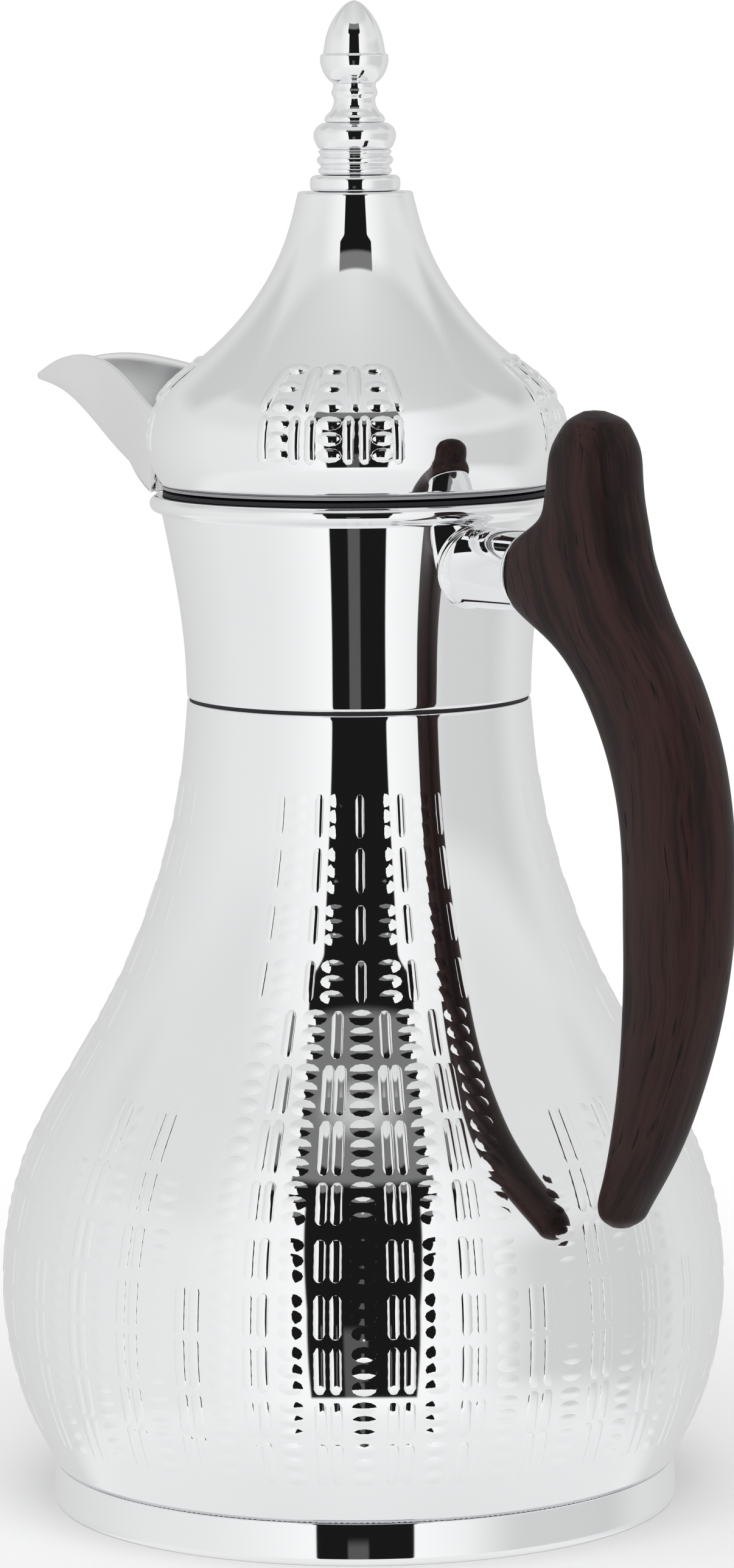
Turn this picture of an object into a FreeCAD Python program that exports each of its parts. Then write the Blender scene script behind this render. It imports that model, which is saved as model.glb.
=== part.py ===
import FreeCAD, Part
import math
import os
import Sketcher

# Insulated dallah coffee pot.
# Millimetres, Z up, the origin on the pot's axis at the underside of the foot.
# The handle points along +X and the spout along -X.

SIZES = {
    # foot ring and screwed bottom
    "foot_radius": 67.0,
    "foot_taper": 0.25,
    "foot_height": 9.0,
    "foot_round": 1.0,
    "foot_wall": 4.5,
    "foot_ledge": 4.5,
    "foot_ledge_height": 5.0,
    "foot_lip_rise": 3.5,
    "cap_recess": 1.6,
    "cap_thickness": 6.4,
    "cap_slot_length": 40.0,
    "cap_slot_width": 4.0,
    "cap_slot_depth": 2.0,
    # belly and shoulder
    "body_foot_step": 0.15,
    "belly_arc": 74.0,
    "shoulder_radius": 65.3,
    "shoulder_height": 89.9,
    "flank_arc": 183.0,
    "waist_radius": 44.1,
    "waist_height": 133.4,
    "neck_arc": 139.5,
    "neck_radius": 36.6,
    "neck_height": 172.6,
    "shell_wall": 1.0,
    # ring in the neck seam
    "seam_width": 0.8,
    "seam_depth": 0.5,
    "coupling_thickness": 4.2,
    "coupling_skirt": 8.0,
    # collar and its rolled rim
    "collar_arc": 146.0,
    "collar_top_radius": 41.6,
    "collar_height": 42.9,
    "rim_overhang": 2.55,
    "rim_depth": 3.5,
    "rim_round": 1.2,
    "rim_lip": 2.2,
    # pouring ring in the neck
    "sleeve_flange_reach": 1.9,
    "sleeve_flange": 0.8,
    "sleeve_wall": 3.0,
    "sleeve_room": 11.6,
    "dish_depth": 7.0,
    "seat_drop": 35.3,
    "seat_thickness": 3.0,
    "seat_ledge": 4.5,
    "neck_gasket_thickness": 2.0,
    # vacuum refill
    "glass_wall": 1.6,
    "vacuum_gap": 2.8,
    "glass_bottom": 15.0,
    "glass_bottom_arc": 95.0,
    "glass_heel_radius": 44.0,
    "glass_heel_arc": 38.0,
    "glass_swell": 3.7,
    "glass_belly_height": 57.0,
    "glass_belly_arc": 62.0,
    "glass_shoulder_room": 4.3,
    "glass_shoulder_rise": 1.1,
    "glass_throat_room": 13.6,
    "glass_throat_drop": 13.0,
    "glass_neck_rise": 18.6,
    "glass_neck_wall": 5.0,
    "glass_lip": 2.0,
    "glass_tip_radius": 3.0,
    "glass_tip_length": 4.0,
    "pad_radius": 3.0,
    "pad_room": 1.2,
    "pad_count": 3,
    "cushion_radius": 30.0,
    "cushion_bore": 8.0,
    # lid
    "lid_edge_rise": 2.0,
    "lid_edge_overhang": 0.3,
    "lid_arc": 16.95,
    "lid_turn_inset": 4.9,
    "lid_turn_rise": 23.8,
    "lid_flare_arc": 55.1,
    "lid_top_radius": 12.3,
    "lid_top_rise": 61.7,
    "lid_top_round": 0.7,
    "lid_wall": 1.2,
    "liner_lip": 0.6,
    "liner_thickness": 3.2,
    "lid_foam_height": 36.0,
    "lid_foam_arc": 60.0,
    # knob
    "disc_radius": 9.55,
    "disc_height": 3.4,
    "bead_radius": 8.0,
    "bead_neck_radius": 7.25,
    "bead_height": 5.4,
    "ring_radius": 8.7,
    "ring_neck_radius": 7.4,
    "ring_height": 5.6,
    "stem_foot_radius": 6.2,
    "stem_waist_radius": 4.35,
    "stem_collar_radius": 4.85,
    "stem_height": 8.2,
    "acorn_foot_radius": 4.6,
    "acorn_radius": 7.25,
    "acorn_ledge_rise": 6.0,
    "acorn_cone_radius": 6.4,
    "acorn_height": 17.4,
    "acorn_tip_radius": 4.6,
    # stopper
    "stopper_gap": 1.4,
    "stopper_wall": 4.1,
    "stopper_roof": 6.7,
    "stopper_flange_reach": 7.4,
    "stopper_flange": 3.0,
    "flute_radius": 4.0,
    "flute_depth": 2.4,
    "flute_count": 4,
    "seal_thickness": 3.0,
    "seal_gap": 2.0,
    "seal_ledge": 2.9,
    "stopper_cap_gap": 0.6,
    "stopper_cap_flange": 2.2,
    "stopper_plug": 4.0,
    # rod that clamps the lid together
    "rod_radius": 2.5,
    "rod_tail": 2.0,
    "rod_grip": 4.0,
    "nut_radius": 4.6,
    "nut_thickness": 4.0,
    "rod_washer_radius": 6.0,
    "rod_washer_thickness": 1.0,
    # spout: reach past the rim, half width, and rise of edge and keel over the rim, at each section;
    # at the root the half width is the rim radius less an inset
    "spout_wall": 1.3,
    "spout_heel_reach": -16.15,
    "spout_heel_edge": 1.2,
    "spout_heel_inset": 8.95,
    "spout_heel_keel": -19.3,
    "spout_cheek_reach": -8.15,
    "spout_cheek_edge": 8.7,
    "spout_cheek_inset": 14.65,
    "spout_cheek_keel": -9.8,
    "spout_root_reach": -0.15,
    "spout_root_edge": 14.7,
    "spout_root_inset": 20.55,
    "spout_root_keel": -0.3,
    "spout_throat_reach": 15.85,
    "spout_throat_edge": 20.9,
    "spout_throat_half": 14.0,
    "spout_throat_keel": 1.5,
    "spout_jaw_reach": 30.85,
    "spout_jaw_edge": 24.1,
    "spout_jaw_half": 10.0,
    "spout_jaw_keel": 3.7,
    "spout_crest_reach": 45.85,
    "spout_crest_edge": 25.7,
    "spout_crest_half": 7.0,
    "spout_crest_keel": 9.1,
    "spout_beak_reach": 60.85,
    "spout_beak_edge": 24.1,
    "spout_beak_half": 4.2,
    "spout_beak_keel": 16.1,
    "spout_tip_reach": 73.05,
    "spout_tip_edge": 20.6,
    "spout_tip_half": 2.0,
    "spout_tip_keel": 17.9,
    "spout_lid_room": 0.5,
    # handle: rise over the tube, inner edge, outer edge and half thickness of each section of the grip
    "grip_end_rise": -132.2,
    "grip_end_inner": 84.4,
    "grip_end_outer": 88.7,
    "grip_end_half": 2.0,
    "grip_toe_rise": -128.5,
    "grip_toe_inner": 82.1,
    "grip_toe_outer": 92.4,
    "grip_toe_half": 4.9,
    "grip_tail_rise": -114.1,
    "grip_tail_inner": 87.0,
    "grip_tail_outer": 102.2,
    "grip_tail_half": 6.8,
    "grip_heel_rise": -90.1,
    "grip_heel_inner": 91.8,
    "grip_heel_outer": 112.4,
    "grip_heel_half": 8.8,
    "grip_palm_rise": -63.1,
    "grip_palm_inner": 93.0,
    "grip_palm_outer": 117.13,
    "grip_palm_half": 10.0,
    "grip_finger_rise": -43.1,
    "grip_finger_inner": 90.8,
    "grip_finger_outer": 115.6,
    "grip_finger_half": 10.0,
    "grip_bend_rise": -26.1,
    "grip_bend_inner": 82.5,
    "grip_bend_outer": 111.0,
    "grip_bend_half": 9.8,
    "grip_root_rise": -13.1,
    "grip_root_inner": 70.5,
    "grip_root_outer": 103.5,
    "grip_root_half": 9.3,
    "grip_nose_inner": 65.5,
    "grip_nose_outer": 94.8,
    "grip_nose_half": 9.2,
    "grip_crook_rise": 12.9,
    "grip_crook_inner": 67.3,
    "grip_crook_outer": 90.0,
    "grip_crook_half": 9.1,
    "grip_horn_rise": 24.9,
    "grip_horn_inner": 69.4,
    "grip_horn_outer": 88.5,
    "grip_horn_half": 8.5,
    "grip_crown_rise": 31.1,
    "grip_crown_inner": 72.8,
    "grip_crown_outer": 86.1,
    "grip_crown_half": 6.3,
    "grip_top_rise": 34.1,
    "grip_top_inner": 76.2,
    "grip_top_outer": 80.8,
    "grip_top_half": 2.2,
    "grip_nose_radius": 9.0,
    # fastening of the grip on the collar
    "handle_drop": 13.2,
    "grip_face": 60.3,
    "stub_gasket_thickness": 0.5,
    "stub_radius": 8.3,
    "stub_bore": 6.5,
    "stub_flare_radius": 9.8,
    "stub_flare_length": 4.4,
    "stub_ring_radius": 8.75,
    "stub_ring_width": 1.4,
    "bolt_radius": 2.5,
    "bolt_short": 0.5,
    "bolt_head_radius": 4.8,
    "bolt_head": 3.0,
    "saddle_radius": 7.0,
    "saddle_thickness": 3.3,
    "insert_radius": 4.5,
    "insert_length": 17.5,
    # fits
    "slide_gap": 0.2,
    "bolt_gap": 0.2,
    "thread_gap": 0.1,
    "loose_gap": 0.5,
}


class Length:
    """A length as a number and as the sheet expression that drives it."""

    def __init__(self, value, text):
        self.value = float(value)
        self.text = text

    @staticmethod
    def of(other):
        if isinstance(other, Length):
            return other
        return Length(other, repr(float(other)))

    def __add__(self, other):
        other = Length.of(other)
        return Length(self.value + other.value, "(%s + %s)" % (self.text, other.text))

    def __sub__(self, other):
        other = Length.of(other)
        return Length(self.value - other.value, "(%s - %s)" % (self.text, other.text))

    def __mul__(self, other):
        other = Length.of(other)
        return Length(self.value * other.value, "(%s * %s)" % (self.text, other.text))

    def __truediv__(self, other):
        other = Length.of(other)
        return Length(self.value / other.value, "(%s / %s)" % (self.text, other.text))

    def __neg__(self):
        return Length(-self.value, "(0 - %s)" % self.text)

    def root(self):
        return Length(math.sqrt(self.value), "sqrt(%s)" % self.text)

    def at_most(self, other):
        other = Length.of(other)
        return Length(min(self.value, other.value), "min(%s; %s)" % (self.text, other.text))

    def at_least(self, other):
        other = Length.of(other)
        return Length(max(self.value, other.value), "max(%s; %s)" % (self.text, other.text))


doc = FreeCAD.newDocument("Dallah")
sheet = doc.addObject("Spreadsheet::Sheet", "sizes")
L = {}
for row, (name, number) in enumerate(SIZES.items(), start=1):
    sheet.set("A%d" % row, name)
    sheet.set("B%d" % row, repr(number))
    sheet.setAlias("B%d" % row, name)
    L[name] = Length(number, "sizes." + name)
doc.recompute()

NODES = []


def node(thing, label):
    """Make an object of the document a sub-part with its own name."""
    thing.Label = label
    NODES.append(thing)
    return thing


def origin_plane(body, role):
    for feature in body.Origin.OriginFeatures:
        if feature.Role == role:
            return feature
    raise RuntimeError("no origin plane " + role)


def arc_between(start, end, radius):
    """Shorter arc from start to end: its centre lies to the left where radius is positive."""
    chord = end.sub(start)
    half = chord.Length / 2.0
    rise = math.sqrt(max(radius * radius - half * half, 0.0))
    left = FreeCAD.Vector(-chord.y, chord.x, 0).normalize()
    side = 1.0 if radius > 0 else -1.0
    centre = start.add(end).multiply(0.5).add(left.multiply(side * rise))
    circle = Part.Circle(centre, FreeCAD.Vector(0, 0, 1), abs(radius))
    first, last = (start, end) if radius > 0 else (end, start)
    from_angle = math.atan2(first.y - centre.y, first.x - centre.x)
    to_angle = math.atan2(last.y - centre.y, last.x - centre.x)
    if to_angle <= from_angle:
        to_angle += 2.0 * math.pi
    return Part.ArcOfCircle(circle, from_angle, to_angle)


def outline(body, name, corners):
    """Closed sketch in the XZ plane.

    Each corner is (across, up) or (across, up, radius), where radius bends the edge to the next
    corner: positive with its centre to the left of the way round, negative to the right.
    Every corner and every radius is bound to the sheet.
    """
    sketch = body.newObject("Sketcher::SketchObject", name)
    sketch.AttachmentSupport = (origin_plane(body, "XZ_Plane"), [""])
    sketch.MapMode = "FlatFace"
    places = [FreeCAD.Vector(Length.of(c[0]).value, Length.of(c[1]).value, 0) for c in corners]
    edges = []
    ends = []
    for index, corner in enumerate(corners):
        start = places[index]
        end = places[(index + 1) % len(corners)]
        if len(corner) == 3:
            radius = Length.of(corner[2]).value
            edges.append(arc_between(start, end, radius))
            ends.append((1, 2) if radius > 0 else (2, 1))
        else:
            edges.append(Part.LineSegment(start, end))
            ends.append((1, 2))
    sketch.addGeometry(edges, False)
    rules = []
    bound = []
    for index, corner in enumerate(corners):
        following = (index + 1) % len(corners)
        rules.append(Sketcher.Constraint("Coincident", index, ends[index][1], following, ends[following][0]))
        for kind, axis, size in (("DistanceX", -2, corner[0]), ("DistanceY", -1, corner[1])):
            size = Length.of(size)
            if size.value == 0.0:
                rules.append(Sketcher.Constraint("PointOnObject", index, ends[index][0], axis))
            else:
                bound.append((len(rules), size))
                rules.append(Sketcher.Constraint(kind, -1, 1, index, ends[index][0], size.value))
        if len(corner) == 3:
            radius = Length.of(corner[2])
            if radius.value < 0:
                radius = -radius
            bound.append((len(rules), radius))
            rules.append(Sketcher.Constraint("Radius", index, radius.value))
    sketch.addConstraint(rules)
    for place, size in bound:
        sketch.setExpression("Constraints[%d]" % place, size.text)
    return sketch


def turned(name, corners, axis="V_Axis"):
    """Body turned from a closed outline, about Z or, with H_Axis, about X."""
    body = doc.addObject("PartDesign::Body", name)
    sketch = outline(body, name + "_outline", corners)
    turn = body.newObject("PartDesign::Revolution", name + "_turn")
    turn.Profile = sketch
    turn.ReferenceAxis = (sketch, [axis])
    turn.Angle = 360.0
    return body


def at_height(thing, height):
    thing.setExpression(".Placement.Base.z", height.text)
    return thing


def cut(name, base, tool):
    result = doc.addObject("Part::Cut", name)
    result.Base = base
    result.Tool = tool
    return result


def rod_along_x(name, radius, start, length, height):
    """Cylinder along +X, used as a boss or as the tool of a bore."""
    rod = doc.addObject("Part::Cylinder", name)
    rod.setExpression("Radius", radius.text)
    rod.setExpression("Height", length.text)
    rod.Placement = FreeCAD.Placement(
        FreeCAD.Vector(start.value, 0, height.value),
        FreeCAD.Rotation(FreeCAD.Vector(0, 1, 0), 90),
    )
    rod.setExpression(".Placement.Base.x", start.text)
    rod.setExpression(".Placement.Base.z", height.text)
    return rod


# Heights above the table: the rim stands on the neck, the lid and its knob on the rim.
collar_bottom = L["neck_height"] + L["seam_width"]
rim_height = collar_bottom + L["collar_height"]
seat_height = rim_height - L["seat_drop"]
handle_height = rim_height - L["handle_drop"]
lid_edge_height = rim_height + L["lid_edge_rise"]
lid_turn_height = lid_edge_height + L["lid_turn_rise"]
lid_top_height = lid_edge_height + L["lid_top_rise"]
disc_top = lid_top_height + L["disc_height"]
bead_top = disc_top + L["bead_height"]
ring_top = bead_top + L["ring_height"]
stem_top = ring_top + L["stem_height"]
acorn_ledge_height = stem_top + L["acorn_ledge_rise"]
acorn_tip = stem_top + L["acorn_height"]

# Radii that follow one another: the foot carries the belly, the rim carries pouring ring and lid,
# and the refill and the stopper fit inside the shell and the neck.
foot_top_radius = L["foot_radius"] - L["foot_taper"]
foot_bore = L["foot_radius"] - L["foot_wall"]
foot_ledge_radius = foot_bore - L["foot_ledge"]
body_foot_radius = foot_top_radius - L["body_foot_step"]
rim_radius = L["collar_top_radius"] + L["rim_overhang"]
rim_mouth_radius = L["collar_top_radius"] - L["rim_lip"]
sleeve_flange_radius = rim_mouth_radius + L["sleeve_flange_reach"]
lid_edge_radius = sleeve_flange_radius + L["lid_edge_overhang"]
lid_turn_radius = lid_edge_radius - L["lid_turn_inset"]
sleeve_bore = L["neck_radius"] - L["sleeve_room"]
seat_bore = sleeve_bore - L["seat_ledge"]
stopper_radius = sleeve_bore - L["stopper_gap"]
stopper_flange_radius = stopper_radius + L["stopper_flange_reach"]
stopper_cap_radius = seat_bore - L["stopper_cap_gap"]
seal_radius = sleeve_bore - L["seal_gap"]
seal_bore = seat_bore - L["seal_ledge"]
glass_radius = body_foot_radius + L["glass_swell"]
glass_shoulder_radius = L["shoulder_radius"] - L["glass_shoulder_room"]
glass_shoulder_height = L["shoulder_height"] + L["glass_shoulder_rise"]
glass_throat_radius = L["waist_radius"] - L["glass_throat_room"]
glass_neck_radius = sleeve_bore
glass_neck_height = L["waist_height"] + L["glass_neck_rise"]
glass_throat_height = glass_neck_height - L["glass_throat_drop"]
pad_thickness = L["vacuum_gap"] - L["pad_room"]

# Foot ring: a turned ring with a ledge for the screwed bottom and a lip inside the belly.
foot_lip_radius = body_foot_radius - L["shell_wall"] * 1.4 - L["slide_gap"]
foot_lip_top = L["foot_height"] + L["foot_lip_rise"]
node(turned("BaseRing", [
    (foot_bore, 0),
    (L["foot_radius"] - L["foot_round"], 0, L["foot_round"]),
    (L["foot_radius"], L["foot_round"]),
    (foot_top_radius, L["foot_height"]),
    (foot_lip_radius, L["foot_height"]),
    (foot_lip_radius, foot_lip_top),
    (foot_ledge_radius, foot_lip_top),
    (foot_ledge_radius, L["foot_ledge_height"]),
    (foot_bore, L["foot_ledge_height"]),
]), "base_ring")

# Screwed bottom: it seats under the ledge, and a coin slot turns it.
cap_top = L["cap_recess"] + L["cap_thickness"]
cap_disc = turned("BaseCapDisc", [
    (0, L["cap_recess"]),
    (foot_bore - L["slide_gap"], L["cap_recess"]),
    (foot_bore - L["slide_gap"], L["foot_ledge_height"]),
    (foot_ledge_radius - L["slide_gap"], L["foot_ledge_height"]),
    (foot_ledge_radius - L["slide_gap"], cap_top),
    (0, cap_top),
])
cap_slot = doc.addObject("Part::Box", "BaseCapSlot")
cap_slot.setExpression("Length", L["cap_slot_length"].text)
cap_slot.setExpression("Width", L["cap_slot_width"].text)
cap_slot.setExpression("Height", (L["cap_slot_depth"] + L["cap_recess"]).text)
cap_slot.setExpression(".Placement.Base.x", (-L["cap_slot_length"] / 2).text)
cap_slot.setExpression(".Placement.Base.y", (-L["cap_slot_width"] / 2).text)
node(cut("BaseCap", cap_disc, cap_slot), "base_cap")

# Belly and shoulder: three arcs outside, the same arcs one wall further in.
wall = L["shell_wall"]
node(turned("BodyShell", [
    (body_foot_radius, L["foot_height"], L["belly_arc"]),
    (L["shoulder_radius"], L["shoulder_height"], -L["flank_arc"]),
    (L["waist_radius"], L["waist_height"], -L["neck_arc"]),
    (L["neck_radius"], L["neck_height"]),
    (L["neck_radius"] - wall, L["neck_height"], L["neck_arc"] + wall),
    (L["waist_radius"] - wall, L["waist_height"] - wall * 0.3, L["flank_arc"] + wall),
    (L["shoulder_radius"] - wall, L["shoulder_height"] - wall * 0.6, -L["belly_arc"] + wall),
    (body_foot_radius - wall * 1.4, L["foot_height"]),
]), "body_shell")

# Ring in the neck seam: its rib shows as the dark line and parts the shell from the collar.
coupling_radius = L["neck_radius"] - wall - L["slide_gap"]
coupling_bore = coupling_radius - L["coupling_thickness"]
flare_rise = L["collar_height"] - L["rim_depth"]
flare_reach = L["collar_top_radius"] - L["neck_radius"]
flare_chord = (flare_rise * flare_rise + flare_reach * flare_reach).root()
flare_centre = (L["collar_arc"] * L["collar_arc"] - flare_chord * flare_chord / 4).root() * flare_rise / flare_chord
flare_waist = (L["collar_top_radius"] + L["neck_radius"]) / 2 + flare_centre - L["collar_arc"]
skirt_radius = (flare_waist - wall - L["slide_gap"]).at_most(coupling_radius)
node(turned("NeckCoupling", [
    (coupling_bore, L["neck_height"] - L["coupling_skirt"]),
    (coupling_radius, L["neck_height"] - L["coupling_skirt"]),
    (coupling_radius, L["neck_height"]),
    (L["neck_radius"] - L["seam_depth"], L["neck_height"]),
    (L["neck_radius"] - L["seam_depth"], collar_bottom),
    (skirt_radius, collar_bottom),
    (skirt_radius, collar_bottom + L["coupling_skirt"]),
    (coupling_bore, collar_bottom + L["coupling_skirt"]),
]), "neck_coupling")

# Collar: a flared neck that ends in a rolled rim, bored for the bolt of the handle.
rim_bottom = rim_height - L["rim_depth"]
collar_profile = [
    (L["neck_radius"], collar_bottom, -L["collar_arc"]),
    (L["collar_top_radius"], rim_bottom),
    (rim_radius - L["rim_round"], rim_bottom, L["rim_round"]),
    (rim_radius, rim_bottom + L["rim_round"]),
    (rim_radius, rim_height - L["rim_round"], L["rim_round"]),
    (rim_radius - L["rim_round"], rim_height),
]
collar_body = turned("CollarBody", collar_profile + [
    (rim_mouth_radius, rim_height),
    (rim_mouth_radius, rim_height - wall),
    (L["collar_top_radius"] - wall, rim_bottom, L["collar_arc"] + wall),
    (L["neck_radius"] - wall, collar_bottom),
])
bolt_hole = rod_along_x(
    "BoltHole", L["bolt_radius"] + L["bolt_gap"], L["neck_radius"] * 0.5, rim_radius, handle_height)
node(cut("Collar", collar_body, bolt_hole), "collar_shell")

# The room that the collar fills, outside and inside, for trimming what seats on its wall.
collar_outside = turned("CollarOutside", collar_profile + [(0, rim_height), (0, collar_bottom)])
collar_inside = turned("CollarInside", [
    (L["collar_top_radius"] - wall, rim_bottom, L["collar_arc"] + wall),
    (L["neck_radius"] - wall, collar_bottom),
    (0, collar_bottom),
    (0, rim_bottom),
])

# Pouring ring: a flange on the rim, a dish that drains to the bore, and the seat for the stopper.
sleeve_radius = sleeve_bore + L["sleeve_wall"]
sleeve_top = rim_height + L["sleeve_flange"]
dish_rim = rim_mouth_radius - L["slide_gap"]
dish_bottom = sleeve_top - L["dish_depth"]
seat_bottom = seat_height - L["seat_thickness"]
node(turned("NeckSleeve", [
    (seat_bore, seat_bottom),
    (sleeve_radius, seat_bottom),
    (sleeve_radius, dish_bottom - L["sleeve_wall"]),
    (dish_rim, rim_height - wall),
    (dish_rim, rim_height),
    (sleeve_flange_radius, rim_height),
    (sleeve_flange_radius, sleeve_top),
    (dish_rim, sleeve_top),
    (sleeve_bore, dish_bottom),
    (sleeve_bore, seat_height),
    (seat_bore, seat_height),
]), "neck_sleeve")

# Ring between the pouring ring and the mouth of the refill.
glass_top = seat_bottom - L["neck_gasket_thickness"]
glass_bore = glass_neck_radius - L["glass_neck_wall"]
node(turned("NeckGasket", [
    (glass_bore + L["slide_gap"], glass_top),
    (glass_neck_radius + L["loose_gap"], glass_top),
    (glass_neck_radius + L["loose_gap"], seat_bottom),
    (glass_bore + L["slide_gap"], seat_bottom),
]), "neck_gasket")


def cap_height(bottom, radius):
    """Height of the refill's rounded bottom, a cap of a sphere, at a radius."""
    arc = L["glass_bottom_arc"]
    return bottom + arc - (arc * arc - radius * radius).root()


def refill_skin(inset, neck_inset):
    """Meridian of the refill, one inset inside its outer face, from the bottom up to the lip."""
    bottom = L["glass_bottom"] + inset
    heel = L["glass_heel_radius"] - inset * 0.3
    return [
        (0, bottom, L["glass_bottom_arc"]),
        (heel, cap_height(bottom, heel), L["glass_heel_arc"]),
        (glass_radius - inset, L["glass_belly_height"], L["glass_belly_arc"]),
        (glass_shoulder_radius - inset * 0.8, glass_shoulder_height - inset * 0.5),
        (glass_throat_radius - neck_inset, glass_throat_height, -L["glass_heel_arc"]),
        (glass_neck_radius - neck_inset, glass_neck_height),
    ]


def back_again(corners):
    """The same meridian walked the other way, each arc bending as before."""
    places = [corner[:2] for corner in reversed(corners)]
    radii = [corner[2] if len(corner) == 3 else None for corner in reversed(corners[:-1])]
    walk = [place if radius is None else place + (-radius,) for place, radius in zip(places, radii)]
    return walk + [places[-1]]


# Refill: two glass walls with the vacuum between them, fused at the lip, and the sealed tail below.
lip_bottom = glass_top - L["glass_lip"]
neck_in = glass_neck_radius
tail_bottom = L["glass_bottom"] - L["glass_tip_length"]
outer_skin = refill_skin(Length.of(0), Length.of(0))
tail_join = cap_height(L["glass_bottom"], L["glass_tip_radius"])
node(turned("GlassOuter", [
    (0, tail_bottom),
    (L["glass_tip_radius"] * 0.5, tail_bottom),
    (L["glass_tip_radius"], tail_join, L["glass_bottom_arc"]),
] + outer_skin[1:] + [
    (neck_in, lip_bottom),
    (neck_in - L["glass_wall"], lip_bottom),
] + back_again(refill_skin(L["glass_wall"], L["glass_wall"]))), "glass_outer")
gap_inset = L["glass_wall"] + L["vacuum_gap"]
bore_inset = L["glass_neck_wall"]
node(turned("GlassInner", refill_skin(gap_inset, bore_inset - L["glass_wall"]) + [
    (neck_in - bore_inset + L["glass_wall"], lip_bottom),
    (neck_in, lip_bottom),
    (neck_in, glass_top),
    (neck_in - bore_inset, glass_top),
] + back_again(refill_skin(gap_inset + L["glass_wall"], bore_inset))), "glass_inner")

# Pads that hold the two walls apart.
pad = rod_along_x(
    "SpacerPad",
    L["pad_radius"],
    glass_radius - L["glass_wall"] - L["vacuum_gap"] / 2 - pad_thickness / 2,
    pad_thickness,
    L["glass_belly_height"],
)
pads = doc.addObject("Part::Feature", "SpacerPads")
doc.recompute()
pads.Shape = Part.makeCompound([
    pad.Shape.rotated(FreeCAD.Vector(0, 0, 0), FreeCAD.Vector(0, 0, 1), 60.0 + 360.0 * turn / SIZES["pad_count"])
    for turn in range(SIZES["pad_count"])
])
node(pads, "spacer_pads")


# Rubber seat: its top is the same cap of a sphere as the underside of the refill.
node(turned("BaseCushion", [
    (L["cushion_bore"], cap_top),
    (L["cushion_radius"], cap_top),
    (L["cushion_radius"], cap_height(L["glass_bottom"], L["cushion_radius"]), -L["glass_bottom_arc"]),
    (L["cushion_bore"], cap_height(L["glass_bottom"], L["cushion_bore"])),
]), "base_cushion")

# Lid: a domed skirt that flares up into the foot of the knob.
lid_wall = L["lid_wall"]
rod_hole = L["rod_radius"] + L["bolt_gap"]
shoulder = lid_top_height - L["lid_top_round"]
node(turned("LidDome", [
    (lid_edge_radius, lid_edge_height, L["lid_arc"]),
    (lid_turn_radius, lid_turn_height, -L["lid_flare_arc"]),
    (L["lid_top_radius"], shoulder, L["lid_top_round"]),
    (L["lid_top_radius"] - L["lid_top_round"], lid_top_height),
    (rod_hole, lid_top_height),
    (rod_hole, lid_top_height - lid_wall),
    (L["lid_top_radius"] - lid_wall, lid_top_height - lid_wall, L["lid_flare_arc"] + lid_wall),
    (lid_turn_radius - lid_wall * 0.5, lid_turn_height - lid_wall * 0.9, -L["lid_arc"] + lid_wall),
    (lid_edge_radius - lid_wall, lid_edge_height),
]), "lid_dome")

# Liner: it closes the dome from below, and its lip carries the dome's edge.
liner_radius = lid_edge_radius - lid_wall - L["slide_gap"]
liner_bottom = lid_edge_height - L["liner_lip"]
liner_top = liner_bottom + L["liner_thickness"]
node(turned("LidLiner", [
    (rod_hole, liner_bottom),
    (lid_edge_radius - L["slide_gap"], liner_bottom),
    (lid_edge_radius - L["slide_gap"], lid_edge_height),
    (liner_radius, lid_edge_height),
    (liner_radius, liner_top),
    (rod_hole, liner_top),
]), "lid_liner")

# Insulation in the dome, shaped like the room above the liner.
foam_top = liner_top + L["lid_foam_height"]
node(turned("LidFoam", [
    (rod_hole + L["loose_gap"], liner_top),
    (liner_radius - L["loose_gap"], liner_top),
    (liner_radius - L["loose_gap"], liner_top + L["lid_arc"] * 0.8),
    (lid_turn_radius - lid_wall * 3, lid_turn_height - lid_wall * 3, -L["lid_foam_arc"]),
    (L["lid_top_radius"] + lid_wall * 2, foam_top),
    (rod_hole + L["loose_gap"], foam_top),
]), "lid_foam")

# Knob: five turned pieces on one rod.
node(turned("FinialDisc", [
    (rod_hole, lid_top_height),
    (L["disc_radius"] - lid_wall, lid_top_height),
    (L["disc_radius"], lid_top_height + lid_wall),
    (L["disc_radius"], disc_top - lid_wall, lid_wall),
    (L["disc_radius"] - lid_wall, disc_top),
    (rod_hole, disc_top),
]), "finial_disc")
bead_height = L["bead_height"]
node(turned("FinialBead", [
    (rod_hole, disc_top),
    (L["bead_neck_radius"], disc_top),
    (L["bead_neck_radius"], disc_top + bead_height * 0.35),
    (L["bead_radius"], disc_top + bead_height * 0.5, bead_height * 0.3),
    (L["bead_radius"], disc_top + bead_height * 0.8),
    (L["ring_neck_radius"], bead_top),
    (rod_hole, bead_top),
]), "finial_bead")
ring_half = L["ring_height"] / 2
ring_swell = L["ring_radius"] - L["ring_neck_radius"]
ring_arc = (ring_half * ring_half + ring_swell * ring_swell) / (ring_swell * 2)
node(turned("FinialRing", [
    (rod_hole, bead_top),
    (L["ring_neck_radius"], bead_top, ring_arc),
    (L["ring_radius"], bead_top + ring_half, ring_arc),
    (L["ring_neck_radius"], ring_top),
    (rod_hole, ring_top),
]), "finial_ring")
stem_height = L["stem_height"]
node(turned("FinialStem", [
    (rod_hole, ring_top),
    (L["stem_foot_radius"], ring_top),
    (L["stem_foot_radius"], ring_top + stem_height * 0.2, -stem_height * 0.45),
    (L["stem_waist_radius"], ring_top + stem_height * 0.55),
    (L["stem_collar_radius"], ring_top + stem_height * 0.7),
    (L["stem_collar_radius"], ring_top + stem_height * 0.85),
    (L["acorn_foot_radius"], stem_top),
    (rod_hole, stem_top),
]), "finial_stem")
rod_top = stem_top + L["rod_grip"]
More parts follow.
